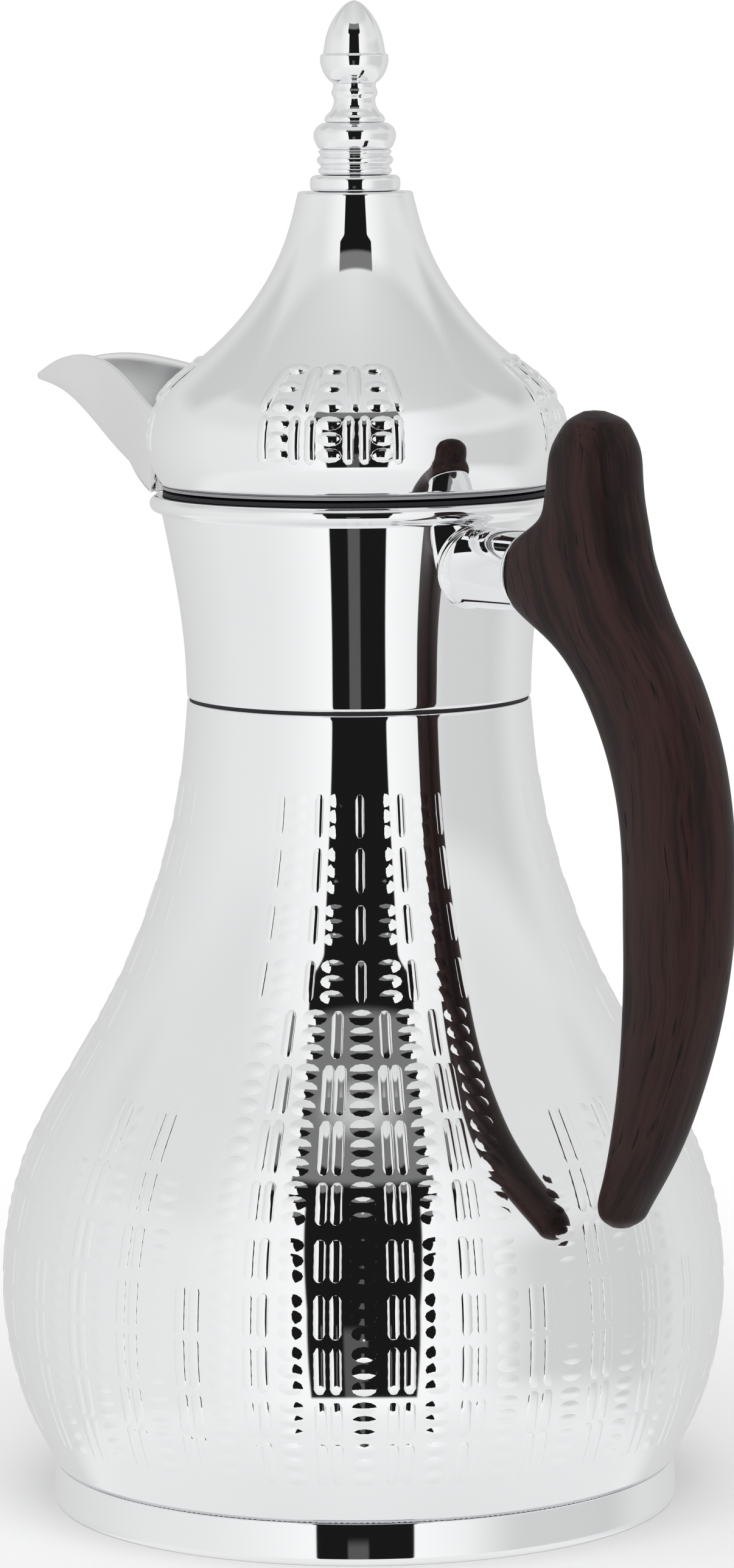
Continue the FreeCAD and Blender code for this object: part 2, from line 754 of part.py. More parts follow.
acorn_rise = acorn_tip - acorn_ledge_height
tip_radius = L["acorn_tip_radius"]
node(turned("FinialAcorn", [
    (rod_hole, stem_top),
    (L["acorn_foot_radius"], stem_top, acorn_rise * 0.7),
    (L["acorn_radius"], acorn_ledge_height),
    (L["acorn_cone_radius"], acorn_ledge_height + lid_wall, acorn_rise * 1.3),
    (tip_radius * math.sqrt(0.96), acorn_tip - tip_radius * 0.8, tip_radius),
    (0, acorn_tip),
    (0, rod_top + L["bolt_gap"]),
    (rod_hole, rod_top + L["bolt_gap"]),
]), "finial_acorn")

# Stopper: a hollow cup under the liner, with flutes that let the coffee past when it is unscrewed.
stopper_bottom = seat_height + L["seal_thickness"]
cavity_radius = stopper_radius - L["stopper_wall"]
cavity_top = liner_bottom - L["stopper_roof"]
flange_bottom = liner_bottom - L["stopper_flange"]
stopper = turned("Stopper", [
    (cavity_radius, stopper_bottom),
    (stopper_radius, stopper_bottom),
    (stopper_radius, flange_bottom),
    (stopper_flange_radius, flange_bottom),
    (stopper_flange_radius, liner_bottom),
    (rod_hole, liner_bottom),
    (rod_hole, cavity_top),
    (cavity_radius, cavity_top),
])
doc.recompute()
flute_sketch = stopper.newObject("Sketcher::SketchObject", "FluteOutline")
flute_sketch.AttachmentSupport = (origin_plane(stopper, "XY_Plane"), [""])
flute_sketch.MapMode = "FlatFace"
flute_sketch.setExpression(".AttachmentOffset.Base.z", stopper_bottom.text)
flute_centre = stopper_radius - L["flute_depth"] + L["flute_radius"]
flute_sketch.addGeometry(
    Part.Circle(FreeCAD.Vector(flute_centre.value, 0, 0), FreeCAD.Vector(0, 0, 1), L["flute_radius"].value), False)
flute_sketch.addConstraint([
    Sketcher.Constraint("PointOnObject", 0, 3, -1),
    Sketcher.Constraint("DistanceX", -1, 1, 0, 3, flute_centre.value),
    Sketcher.Constraint("Radius", 0, L["flute_radius"].value),
])
flute_sketch.setExpression("Constraints[1]", flute_centre.text)
flute_sketch.setExpression("Constraints[2]", L["flute_radius"].text)
flute = stopper.newObject("PartDesign::Pocket", "Flute")
flute.Profile = flute_sketch
flute.Reversed = True
flute.setExpression("Length", (flange_bottom - stopper_bottom - L["loose_gap"]).text)
flutes = stopper.newObject("PartDesign::PolarPattern", "Flutes")
flutes.Originals = [flute]
flutes.Axis = (flute_sketch, ["N_Axis"])
flutes.Angle = 360.0
flutes.setExpression("Occurrences", L["flute_count"].text)
stopper.Tip = flutes
node(stopper, "stopper_body")

# Plug that closes the stopper and holds its seal.
node(turned("StopperCap", [
    (0, seat_height - L["stopper_cap_flange"]),
    (stopper_cap_radius, seat_height - L["stopper_cap_flange"]),
    (stopper_cap_radius, seat_height),
    (seal_bore - L["slide_gap"] * 1.5, seat_height),
    (seal_bore - L["slide_gap"] * 1.5, stopper_bottom),
    (cavity_radius - L["slide_gap"], stopper_bottom),
    (cavity_radius - L["slide_gap"], stopper_bottom + L["stopper_plug"]),
    (0, stopper_bottom + L["stopper_plug"]),
]), "stopper_cap")
node(turned("StopperSeal", [
    (seal_bore, seat_height),
    (seal_radius, seat_height),
    (seal_radius, stopper_bottom),
    (seal_bore, stopper_bottom),
]), "stopper_seal")
washer_bottom = cavity_top - L["rod_washer_thickness"]
nut_bottom = washer_bottom - L["nut_thickness"]
rod_bottom = nut_bottom - L["rod_tail"]
node(turned("StopperFoam", [
    (0, stopper_bottom + L["stopper_plug"]),
    (cavity_radius - L["loose_gap"], stopper_bottom + L["stopper_plug"]),
    (cavity_radius - L["loose_gap"], rod_bottom - L["loose_gap"]),
    (0, rod_bottom - L["loose_gap"]),
]), "stopper_foam")

# Rod, washer and nut that clamp knob, dome, liner and stopper together.
node(turned("TieRod", [
    (0, rod_bottom),
    (L["rod_radius"], rod_bottom),
    (L["rod_radius"], rod_top),
    (0, rod_top),
]), "tie_rod")
node(turned("RodWasher", [
    (rod_hole, washer_bottom),
    (L["rod_washer_radius"], washer_bottom),
    (L["rod_washer_radius"], cavity_top),
    (rod_hole, cavity_top),
]), "rod_washer")
nut_block = doc.addObject("Part::Prism", "NutBlock")
nut_block.Polygon = 6
nut_block.setExpression("Circumradius", L["nut_radius"].text)
nut_block.setExpression("Height", L["nut_thickness"].text)
at_height(nut_block, nut_bottom)
nut_bore = doc.addObject("Part::Cylinder", "NutBore")
nut_bore.setExpression("Radius", (L["rod_radius"] + L["thread_gap"]).text)
nut_bore.setExpression("Height", L["nut_thickness"].text)
at_height(nut_bore, nut_bottom)
node(cut("RodNut", nut_block, nut_bore), "rod_nut")


# Spout: a trough lofted through eight half-elliptic sections, from cheeks that hug the lid to the tip.
def half_ellipse(reach, edge, half, depth):
    """Lower half of an ellipse across the spout, from one edge round the keel to the other."""
    arc = Part.makeCircle(1.0, FreeCAD.Vector(0, 0, 0), FreeCAD.Vector(0, 0, 1), 180, 360)
    place = FreeCAD.Matrix(0, 0, 1, -reach, half, 0, 0, 0, 0, depth, 0, edge, 0, 0, 0, 1)
    return arc.transformGeometry(place).Edges[0]


def spout_section(name):
    """Closed U of one wall's thickness at one reach of the beak."""
    reach = rim_radius.value + SIZES["spout_%s_reach" % name]
    edge = rim_height.value + SIZES["spout_%s_edge" % name]
    if name in ("heel", "cheek", "root"):
        half = rim_radius.value - SIZES["spout_%s_inset" % name]
    else:
        half = SIZES["spout_%s_half" % name]
    depth = SIZES["spout_%s_edge" % name] - SIZES["spout_%s_keel" % name]
    thick = SIZES["spout_wall"]
    outer = half_ellipse(reach, edge, half, depth)
    inner = half_ellipse(reach, edge, half - thick, depth - thick)
    caps = [
        Part.makeLine(FreeCAD.Vector(-reach, side * (half - thick), edge), FreeCAD.Vector(-reach, side * half, edge))
        for side in (-1, 1)
    ]
    return Part.Wire(Part.__sortEdges__([outer, caps[0], inner, caps[1]]))


trough = doc.addObject("Part::Feature", "SpoutTrough")
trough.Shape = Part.makeLoft(
    [spout_section(name) for name in ("heel", "cheek", "root", "throat", "jaw", "crest", "beak", "tip")], True, False)

# The way of the lid as it lifts, and all that lies below the rim, are kept free of the spout.
lid_way = L["lid_arc"] * 0.5
lid_reach = lid_edge_radius + L["lid_arc"] * 0.19 + L["spout_lid_room"]
far = rim_radius + L["spout_tip_reach"] * 2
node(cut("Spout", trough, turned("LidWay", [
    (0, rim_height * 0.8),
    (far, rim_height * 0.8),
    (far, rim_height),
    (lid_edge_radius + L["spout_lid_room"] * 0.4, rim_height),
    (lid_reach, lid_edge_height + lid_way),
    (lid_reach, acorn_tip),
    (0, acorn_tip),
])), "spout")

# Handle: a tube flared on the collar, a thin ring, then the grip on its nose.
stub_end = L["grip_face"] - L["stub_gasket_thickness"]
ring_start = stub_end - L["stub_ring_width"]
stub_start = L["neck_radius"] * 0.9
flare_start = L["collar_top_radius"] - wall
node(cut("Stub", at_height(turned("StubTube", [
    (stub_start, L["stub_bore"]),
    (stub_end, L["stub_bore"]),
    (stub_end, L["stub_ring_radius"]),
    (ring_start, L["stub_ring_radius"]),
    (ring_start, L["stub_radius"]),
    (flare_start + L["stub_flare_length"], L["stub_radius"], -L["stub_flare_length"] * 2),
    (flare_start, L["stub_flare_radius"]),
    (stub_start, L["stub_flare_radius"]),
], "H_Axis"), handle_height), collar_outside), "handle_stub")
node(at_height(turned("StubGasket", [
    (stub_end, L["stub_bore"]),
    (L["grip_face"], L["stub_bore"]),
    (L["grip_face"], L["stub_radius"]),
    (stub_end, L["stub_radius"]),
], "H_Axis"), handle_height), "stub_gasket")


def grip_section(name):
    """One level section of the grip: an ellipse from its inner to its outer edge."""
    inner = L["grip_%s_inner" % name]
    outer = L["grip_%s_outer" % name]
    half = L["grip_%s_half" % name]
    height = handle_height if name == "nose" else handle_height + L["grip_%s_rise" % name]
    ring = doc.addObject("Part::Ellipse", "Grip" + name.capitalize())
    ring.setExpression("MajorRadius", ((outer - inner) / 2).at_least(half * 1.001).text)
    ring.setExpression("MinorRadius", half.text)
    ring.setExpression(".Placement.Base.x", ((outer + inner) / 2).text)
    ring.setExpression(".Placement.Base.z", height.text)
    return ring


grip_loft = doc.addObject("Part::Loft", "GripLoft")
grip_loft.Sections = [grip_section(name) for name in (
    "end", "toe", "tail", "heel", "palm", "finger", "bend", "root", "nose", "crook", "horn", "crown", "top")]
grip_loft.Solid = True
grip_loft.Ruled = False
nose_length = L["grip_nose_outer"] / 2 + L["grip_nose_inner"] / 2 - L["grip_face"]
nose = rod_along_x("GripNose", L["grip_nose_radius"], L["grip_face"], nose_length, handle_height)
grip_block = doc.addObject("Part::Fuse", "GripBlock")
grip_block.Base = grip_loft
grip_block.Tool = nose
grip_bore = rod_along_x(
    "GripBore",
    L["insert_radius"] + L["thread_gap"],
    L["grip_face"],
    L["insert_length"] + L["loose_gap"] * 2,
    handle_height,
)
node(cut("Grip", grip_block, grip_bore), "handle_grip")
node(at_height(turned("GripInsert", [
    (L["grip_face"] + L["slide_gap"], L["bolt_radius"] + L["thread_gap"]),
    (L["grip_face"] + L["insert_length"], L["bolt_radius"] + L["thread_gap"]),
    (L["grip_face"] + L["insert_length"], L["insert_radius"]),
    (L["grip_face"] + L["slide_gap"], L["insert_radius"]),
], "H_Axis"), handle_height), "handle_insert")

# Bolt through the collar's wall, with a washer shaped to the inside of the collar.
saddle_face = L["collar_top_radius"] - wall * 3 - L["saddle_thickness"]
saddle_block = at_height(turned("SaddleBlock", [
    (saddle_face, L["bolt_radius"] + L["bolt_gap"]),
    (rim_radius, L["bolt_radius"] + L["bolt_gap"]),
    (rim_radius, L["saddle_radius"]),
    (saddle_face, L["saddle_radius"]),
], "H_Axis"), handle_height)
saddle = doc.addObject("Part::Common", "Saddle")
saddle.Base = saddle_block
saddle.Tool = collar_inside
node(saddle, "saddle_washer")
bolt_end = L["grip_face"] + L["insert_length"] - L["bolt_short"]
node(at_height(turned("Bolt", [
    (saddle_face - L["bolt_head"], 0),
    (bolt_end, 0),
    (bolt_end, L["bolt_radius"]),
    (saddle_face, L["bolt_radius"]),
    (saddle_face, L["bolt_head_radius"]),
    (saddle_face - L["bolt_head"], L["bolt_head_radius"] * 0.8),
], "H_Axis"), handle_height), "handle_bolt")

# Every object has to be sound before anything is written.
doc.recompute()
for thing in doc.Objects:
    if "Invalid" in thing.State or "Error" in thing.State:
        raise RuntimeError("%s failed: %s" % (thing.Name, thing.State))
for thing in NODES:
    shape = thing.Shape
    if shape.isNull() or not shape.isValid() or not shape.Solids:
        raise RuntimeError("%s has no sound solid" % thing.Label)

os.makedirs("parts", exist_ok=True)
for thing in NODES:
    thing.Shape.exportStep("parts/%s.step" % thing.Label)
    print("%-14s %d solid(s) %10.1f mm3" % (thing.Label, len(thing.Shape.Solids), thing.Shape.Volume))
print("%d nodes" % len(NODES))
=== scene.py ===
"""Insulated dallah coffee pot, dressed for a studio picture.

Lengths are millimetres until a mesh is written, Z is up, the pot's axis is the Z axis, the handle
points along +X and the spout along -X.
"""

from __future__ import annotations

import logging
import math
from dataclasses import dataclass, field
from enum import Enum
from functools import cache, reduce

import bpy
import numpy as np
from mathutils import Matrix, Vector


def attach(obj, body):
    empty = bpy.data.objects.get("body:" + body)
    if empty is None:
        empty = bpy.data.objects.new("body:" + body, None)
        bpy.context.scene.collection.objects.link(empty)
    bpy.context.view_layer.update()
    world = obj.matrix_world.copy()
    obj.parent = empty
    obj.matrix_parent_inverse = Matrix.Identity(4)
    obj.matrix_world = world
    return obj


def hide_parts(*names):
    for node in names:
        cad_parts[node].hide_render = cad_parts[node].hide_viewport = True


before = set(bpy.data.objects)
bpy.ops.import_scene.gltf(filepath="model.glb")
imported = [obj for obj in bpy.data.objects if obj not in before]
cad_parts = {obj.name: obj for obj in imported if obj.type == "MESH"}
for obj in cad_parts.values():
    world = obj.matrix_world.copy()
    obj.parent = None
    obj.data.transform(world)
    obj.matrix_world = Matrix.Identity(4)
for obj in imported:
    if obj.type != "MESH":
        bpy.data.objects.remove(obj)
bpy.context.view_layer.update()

MM = 0.001
Array = np.ndarray
Socket = bpy.types.NodeSocket
Pair = tuple[float, float]
Triple = tuple[float, float, float]
Row = tuple[float, ...]
log = logging.getLogger("dallah")


class Body(Enum):
    """Rigid bodies that carry the dressed pieces."""

    FLASK = "flask"
    LID = "lid"


# ---------------------------------------------------------------- curves and surfaces

FINE_POINTS = 40  # of a flowing curve, for each of its knots
LEAST_TAN, LEAST_CUT, MOST_CUT = 1e-6, 1e-4, 0.49  # limits of a rounded corner
POLE_SIZE = 1e-6  # below which a row of points counts as one place


def spline(at: Array, values: Array, x: Array) -> Array:
    """Natural cubic spline: cubics between knots that share slope and curvature.

    Args:
        at: Rising parameter of each knot.
        values: One row per knot.
        x: Parameters to evaluate.

    Returns:
        One row per parameter.
    """
    gap = np.diff(at)
    slope = np.diff(values, axis=0) / gap[:, None]
    size = len(at)
    system, right = np.eye(size), np.zeros_like(values)
    inner = np.arange(1, size - 1)
    system[inner, inner - 1] = gap[:-1]
    system[inner, inner] = 2 * (gap[:-1] + gap[1:])
    system[inner, inner + 1] = gap[1:]
    right[1:-1] = 6 * np.diff(slope, axis=0)
    bend = np.linalg.solve(system, right)
    k = np.clip(np.searchsorted(at, x) - 1, 0, size - 2)
    t, h = (x - at[k])[:, None], gap[k][:, None]
    return (
        values[k]
        + t * (slope[k] - h * (2 * bend[k] + bend[k + 1]) / 6)
        + t * t * bend[k] / 2
        + t**3 * (bend[k + 1] - bend[k]) / (6 * h)
    )


def travelled(points: Array) -> Array:
    """Length run along a polyline up to each of its points."""
    return np.concatenate([[0.0], np.cumsum(np.linalg.norm(np.diff(points, axis=0), axis=1))])


def flowing(knots: tuple[Pair, ...], count: int) -> Array:
    """Smooth curve through knots: a spline over the length between them, evenly spaced again.

    Args:
        knots: Places that the curve passes through.
        count: Number of points.

    Returns:
        Points of the curve, one row each.
    """
    place = np.array(knots)
    at = travelled(place)
    fine = spline(at, place, np.linspace(0, at[-1], FINE_POINTS * len(place)))
    run = travelled(fine)
    even = np.linspace(0, run[-1], count)
    return np.stack([np.interp(even, run, column) for column in fine.T], axis=1)


def rounded(corners: tuple[Triple, ...], steps: int = 6) -> Array:
    """Closed outline whose corners are arcs tangent to both sides.

    Each corner is cut back by round / tan(half angle) and bridged by an arc, drawn as the rational
    quadratic blend of its two tangent points and the corner.

    Args:
        corners: Radius, height and rounding of each corner, counter-clockwise.
        steps: Points on each arc.

    Returns:
        Outline points.
    """
    place, bend = np.array(corners)[:, :2], np.array(corners)[:, 2]
    before, after = np.roll(place, 1, axis=0) - place, np.roll(place, -1, axis=0) - place
    long_in, long_out = np.linalg.norm(before, axis=1), np.linalg.norm(after, axis=1)
    way_in, way_out = before / long_in[:, None], after / long_out[:, None]
    half = np.arccos(np.clip((way_in * way_out).sum(axis=1), -1, 1)) / 2
    cut = bend / np.maximum(np.tan(half), LEAST_TAN)
    cut = np.clip(cut, LEAST_CUT, MOST_CUT * np.minimum(long_in, long_out))[:, None]
    first, last = place + way_in * cut, place + way_out * cut
    t = np.linspace(0, 1, steps)[None, :, None]
    # this weight of the middle point makes the blend a true circular arc
    middle = 2 * np.sin(half)[:, None, None] * t * (1 - t)
    blend = (1 - t) ** 2 * first[:, None] + middle * place[:, None] + t * t * last[:, None]
    return (blend / ((1 - t) ** 2 + middle + t * t)).reshape(-1, 2)


def beside(curve: Array, gap: float) -> Array:
    """Curve moved sideways, along the normal to the left of its way.

    Args:
        curve: Points of the curve.
        gap: How far it moves.

    Returns:
        Moved points.
    """
    way = np.gradient(curve, axis=0)
    way /= np.linalg.norm(way, axis=1)[:, None]
    return curve + gap * np.stack([-way[:, 1], way[:, 0]], axis=1)


def around(count: int) -> Array:
    """Angles of one whole turn in equal steps."""
    return np.linspace(0, 2 * np.pi, count, endpoint=False)


def quads_of(number: Array) -> Array:
    """Quads between neighbouring rows and columns of a grid of vertex numbers."""
    corners = [number[:-1, :-1], number[:-1, 1:], number[1:, 1:], number[1:, :-1]]
    return np.stack(corners, axis=-1).reshape(-1, 4)


def mesh_object(name: str, points: Array, quads: Array, triangles: Array) -> bpy.types.Object:
    """Smooth-shaded mesh object at the origin.

    Args:
        name: Name of the piece.
        points: Vertices in millimetres.
        quads: Four vertex numbers per face.
        triangles: Three vertex numbers per face.

    Returns:
        The linked object.
    """
    corners = np.concatenate([quads.ravel(), triangles.ravel()]).astype(np.int32)
    sizes = np.concatenate([np.full(len(quads), 4), np.full(len(triangles), 3)])
    starts = np.concatenate([[0], np.cumsum(sizes)[:-1]]).astype(np.int32)
    mesh = bpy.data.meshes.new(name)
    mesh.vertices.add(len(points))
    mesh.vertices.foreach_set("co", (points * MM).astype(np.float32).ravel())
    mesh.loops.add(len(corners))
    mesh.loops.foreach_set("vertex_index", corners)
    mesh.polygons.add(len(sizes))
    mesh.polygons.foreach_set("loop_start", starts)
    mesh.polygons.foreach_set("use_smooth", np.ones(len(sizes), bool))
    mesh.update(calc_edges=True)
    mesh.validate()
    piece = bpy.data.objects.new(name, mesh)
    bpy.context.scene.collection.objects.link(piece)
    return piece


def sheet(name: str, grid: Array, loop_u: bool = False) -> bpy.types.Object:
    """Surface on a grid whose columns close in a ring, its normal along (v way) x (u way).

    A first or last row that has shrunk to one place becomes a pole, joined by triangles.

    Args:
        name: Name of the piece.
        grid: Points, rows along u and columns along v.
        loop_u: Whether the last row joins the first.

    Returns:
        The piece.
    """
    rows, columns = grid.shape[:2]
    number = np.arange(rows * columns).reshape(rows, columns)
    low, high = (not loop_u and np.ptp(grid[end], axis=0).max() < POLE_SIZE for end in (0, -1))
    body = number[int(low) : rows - int(high)]
    if loop_u:
        body = np.concatenate([body, body[:1]])
    body = np.concatenate([body, body[:, :1]], axis=1)
    quads, caps = quads_of(body), [np.zeros((0, 3), int)]
    if low:
        pole = np.full(columns, number[0, 0])
        caps.append(np.stack([pole, body[0, 1:], body[0, :-1]], axis=-1))
    if high:
        pole = np.full(columns, number[-1, 0])
        caps.append(np.stack([body[-1, :-1], body[-1, 1:], pole], axis=-1))
    corners = np.concatenate([quads.ravel(), np.concatenate(caps).ravel()])
    used, fresh = np.unique(corners, return_inverse=True)
    four, three = np.split(fresh.ravel(), [quads.size])
    return mesh_object(name, grid.reshape(-1, 3)[used], four.reshape(-1, 4), three.reshape(-1, 3))


def lathe(name: str, outline: Array, segments: int, closed: bool = True) -> bpy.types.Object:
    """Outline (r, z) turned about Z: x = r cos t, y = r sin t.

    Args:
        name: Name of the piece.
        outline: Counter-clockwise outline; open ones end on the axis.
        segments: Steps of the turn.
        closed: Whether the outline is a loop.

    Returns:
        The piece.
    """
    turn, (r, z) = around(segments), outline.T[:, :, None]
    grid = np.stack([r * np.cos(turn), r * np.sin(turn), z + 0 * turn], axis=-1)
    return sheet(name, grid, loop_u=closed)


# ---------------------------------------------------------------- finishes


def opaque(colour: Triple) -> Row:
    """Linear colour with full alpha."""
    return (*colour, 1.0)


class Graph:
    """Thin wrapper that adds and links shader nodes."""

    def __init__(self, tree: bpy.types.NodeTree) -> None:
        """Keeps the tree that nodes are added to."""
        self.tree = tree

    def feed(self, node: bpy.types.Node, inputs: dict) -> None:
        """Gives sockets of a node their values or links.

        Args:
            node: The node.
            inputs: Socket name or number to a value or to another node's socket.
        """
        for key, value in inputs.items():
            if isinstance(value, Socket):
                self.tree.links.new(value, node.inputs[key])
            else:
                node.inputs[key].default_value = value

    def add(self, kind: str, inputs: dict | None = None, **settings: object) -> bpy.types.Node:
        """Adds a node.

        Args:
            kind: Blender's node type, without its leading ShaderNode.
            inputs: What its sockets are fed.
            settings: Properties of the node.

        Returns:
            The node.
        """
        node = self.tree.nodes.new("ShaderNode" + kind)
        for key, value in settings.items():
            setattr(node, key, value)
        self.feed(node, inputs or {})
        return node

    def math(self, operation: str, a: object, b: object = 0.0, clamp: bool = False) -> Socket:
        """One arithmetic step; returns its value socket."""
        return self.add("Math", {0: a, 1: b}, operation=operation, use_clamp=clamp).outputs[0]

    def product(self, first: object, *others: object) -> Socket:
        """Product of values, multiplied one by one; returns its socket."""
        return reduce(lambda a, b: self.math("MULTIPLY", a, b), others, first)

    def vector(self, operation: str, a: object, b: object) -> bpy.types.NodeOutputs:
        """One step of vector arithmetic; returns its sockets."""
        return self.add("VectorMath", {0: a, 1: b}, operation=operation).outputs

    def noise(self, place: Socket, scale: object, detail: float, rough: float = 0.5) -> Socket:
        """Fractal noise about 0.5; returns its value socket."""
        inputs = {"Vector": place, "Scale": scale, "Detail": detail, "Roughness": rough}
        return self.add("TexNoise", inputs).outputs[0]

    def blend(self, share: object, a: object, b: object) -> Socket:
        """Colour mixed from a to b by share; returns its colour socket."""
        return self.add("Mix", {0: share, 6: a, 7: b}, data_type="RGBA").outputs[2]

    def tone(self, share: object, a: object, b: object) -> Socket:
        """Value mixed from a to b by share; returns its value socket."""
        return self.add("Mix", {0: share, 2: a, 3: b}, data_type="FLOAT").outputs[0]

    def step(self, value: object, start: float, end: float) -> Socket:
        """Smooth step that is 0 at start and 1 at end, which may lie below start."""
        inputs = {0: value, 1: start, 2: end, 3: 0.0, 4: 1.0}
        return self.add("MapRange", inputs, interpolation_type="SMOOTHSTEP").outputs[0]

    def ramp(self, share: object, stops: list[tuple[float, Triple]]) -> Socket:
        """Colour ramp, linear between its stops.

        Args:
            share: Where along the ramp.
            stops: Position and linear colour of each stop.

        Returns:
            The colour socket.
        """
        node = self.add("ValToRGB", {0: share})
        elements = node.color_ramp.elements
        while len(elements) < len(stops):
            elements.new(1.0)
        for element, (place, colour) in zip(elements, stops):
            element.position = place
            element.color = opaque(colour)
        return node.outputs[0]

    def grey_ramp(self, share: object, stops: tuple[Pair, ...]) -> Socket:
        """Ramp of plain greys, from the position and tone of each stop."""
        return self.ramp(share, [(place, (tone, tone, tone)) for place, tone in stops])

    def bump(self, strength: float, depth: float, height: Socket) -> Socket:
        """Normal bent by a height; returns its socket."""
        inputs = {"Strength": strength, "Distance": depth, "Height": height}
        return self.add("Bump", inputs).outputs[0]


class GroupGraph(Graph):
    """Graph of a new node group that reads a place and puts out values.

    Attributes:
        entry: Sockets that carry the group's inputs.
        exit: Node that takes its outputs.
    """

    def __init__(self, name: str, inputs: dict[str, float], outputs: tuple[str, ...]) -> None:
        """Makes the group and its sockets.

        Args:
            name: Name of the group.
            inputs: Value inputs and their defaults, besides the Place vector.
            outputs: Names of the value outputs.
        """
        super().__init__(bpy.data.node_groups.new(name, "ShaderNodeTree"))
        new = self.tree.interface.new_socket
        new(name="Place", in_out="INPUT", socket_type="NodeSocketVector")
        for key, value in inputs.items():
            socket = new(name=key, in_out="INPUT", socket_type="NodeSocketFloat")
            socket.default_value = value
        for key in outputs:
            new(name=key, in_out="OUTPUT", socket_type="NodeSocketFloat")
        self.entry = self.tree.nodes.new("NodeGroupInput").outputs
        self.exit = self.tree.nodes.new("NodeGroupOutput")


@cache
def handling_group() -> bpy.types.NodeTree:
    """Faint cloudiness and ripple that polish and handling leave.

    Returns:
        Group with outputs Roughness (base plus spread times a slow noise), Height (fine ripple) and
        Cloud (the slow noise).
    """
    finer, middle, swing = 14.0, 0.5, 2.0
    defaults = {"Base": 0.05, "Spread": 0.03, "Scale": 60.0}
    graph = GroupGraph("handling", defaults, ("Roughness", "Height", "Cloud"))
    entry = graph.entry
    cloud = graph.noise(entry["Place"], entry["Scale"], detail=4.0, rough=0.6)
    ripple = graph.noise(entry["Place"], graph.product(entry["Scale"], finer), detail=2.0)
    drift = graph.product(graph.math("SUBTRACT", cloud, middle), entry["Spread"], swing)
    rough = graph.math("ADD", entry["Base"], drift, clamp=True)
    graph.feed(graph.exit, {"Roughness": rough, "Height": ripple, "Cloud": cloud})
    return graph.tree


@cache
def grain_group() -> bpy.types.NodeTree:
    """Wood figure: dark bands that wander along the grain, and short pores.

    Returns:
        Group with outputs Figure (0 dark to 1 light), Pores (1 in a pore) and Height.
    """
    sway_scale, sway_x, sway_y = 26.0, 0.009, 0.004
    band_share, fibre_share, fibre_height = 0.72, 0.28, 0.5
    pore_start, pore_end = 0.60, 0.72
    defaults = {"Bands": 170.0, "Stretch": 0.055, "Pores": 900.0}
    graph = GroupGraph("wood_grain", defaults, ("Figure", "Pores", "Height"))
    entry = graph.entry
    sway = graph.noise(entry["Place"], sway_scale, detail=2.0)
    bend = graph.add("CombineXYZ", {0: graph.product(sway, sway_x), 1: graph.product(sway, sway_y)})
    squeeze = graph.add("CombineXYZ", {0: 1.0, 1: 1.0, 2: entry["Stretch"]})
    moved = graph.vector("ADD", entry["Place"], bend.outputs[0])[0]
    along = graph.vector("MULTIPLY", moved, squeeze.outputs[0])[0]
    bands = graph.noise(along, entry["Bands"], detail=5.0, rough=0.62)
    fibre = graph.noise(along, entry["Pores"], detail=3.0, rough=0.55)
    figure = graph.math("ADD", graph.product(bands, band_share), graph.product(fibre, fibre_share))
    pores = graph.step(fibre, pore_start, pore_end)
    height = graph.math("SUBTRACT", graph.product(fibre, fibre_height), pores)
    graph.feed(graph.exit, {"Figure": figure, "Pores": pores, "Height": height})
    return graph.tree


def fresh_material(name: str) -> tuple[bpy.types.Material, Graph, bpy.types.Node]:
    """New material with its shader.

    Args:
        name: Name of the material.

    Returns:
        The material, its graph and its Principled BSDF.
    """
    material = bpy.data.materials.new(name)
    material.use_nodes = True
    return material, Graph(material.node_tree), material.node_tree.nodes["Principled BSDF"]


@dataclass(frozen=True)
class Finish:
    """Surface whose roughness drifts a little and whose skin has a fine ripple.

    Attributes:
        name: Name of the material.
        slot: Material slot of the record; not used.
        colour: Linear base colour.
        second: Linear colour that it clouds towards.
        metallic: 1 for metal.
        roughness: Middle roughness.
        spread: Drift of the roughness.
        scale: Size of the drift, per metre.
        ripple: Strength of the ripple.
        ripple_depth: Depth of the ripple, in metres.
        sheen: Weight of cloth sheen.
    """

    name: str
    slot: str
    colour: Triple
    second: Triple
    metallic: float = 0.0
    roughness: float = 0.4
    spread: float = 0.06
    scale: float = 60.0
    ripple: float = 0.05
    ripple_depth: float = 0.0002
    sheen: float = 0.0

    def material(self) -> bpy.types.Material:
        """Material of this finish, built on first use."""
        return bpy.data.materials.get(self.name) or self.make()

    def make(self) -> bpy.types.Material:
        """Builds the material: handling group into roughness, colour and bump of one shader.

        Returns:
            The new material.
        """
        material, graph, shader = fresh_material(self.name)
        place = graph.add("TexCoord").outputs["Object"]
        inputs = {"Base": self.roughness, "Spread": self.spread, "Scale": self.scale}
        wear = graph.add("Group", {"Place": place, **inputs}, node_tree=handling_group()).outputs
        graph.feed(shader, {
            "Base Color": graph.blend(wear["Cloud"], opaque(self.colour), opaque(self.second)),
            "Roughness": wear["Roughness"],
            "Metallic": self.metallic,
            "Sheen Weight": self.sheen,
        })
        if self.ripple > 0:
            bent = graph.bump(self.ripple, self.ripple_depth, wear["Height"])
            graph.feed(shader, {"Normal": bent})
        return material


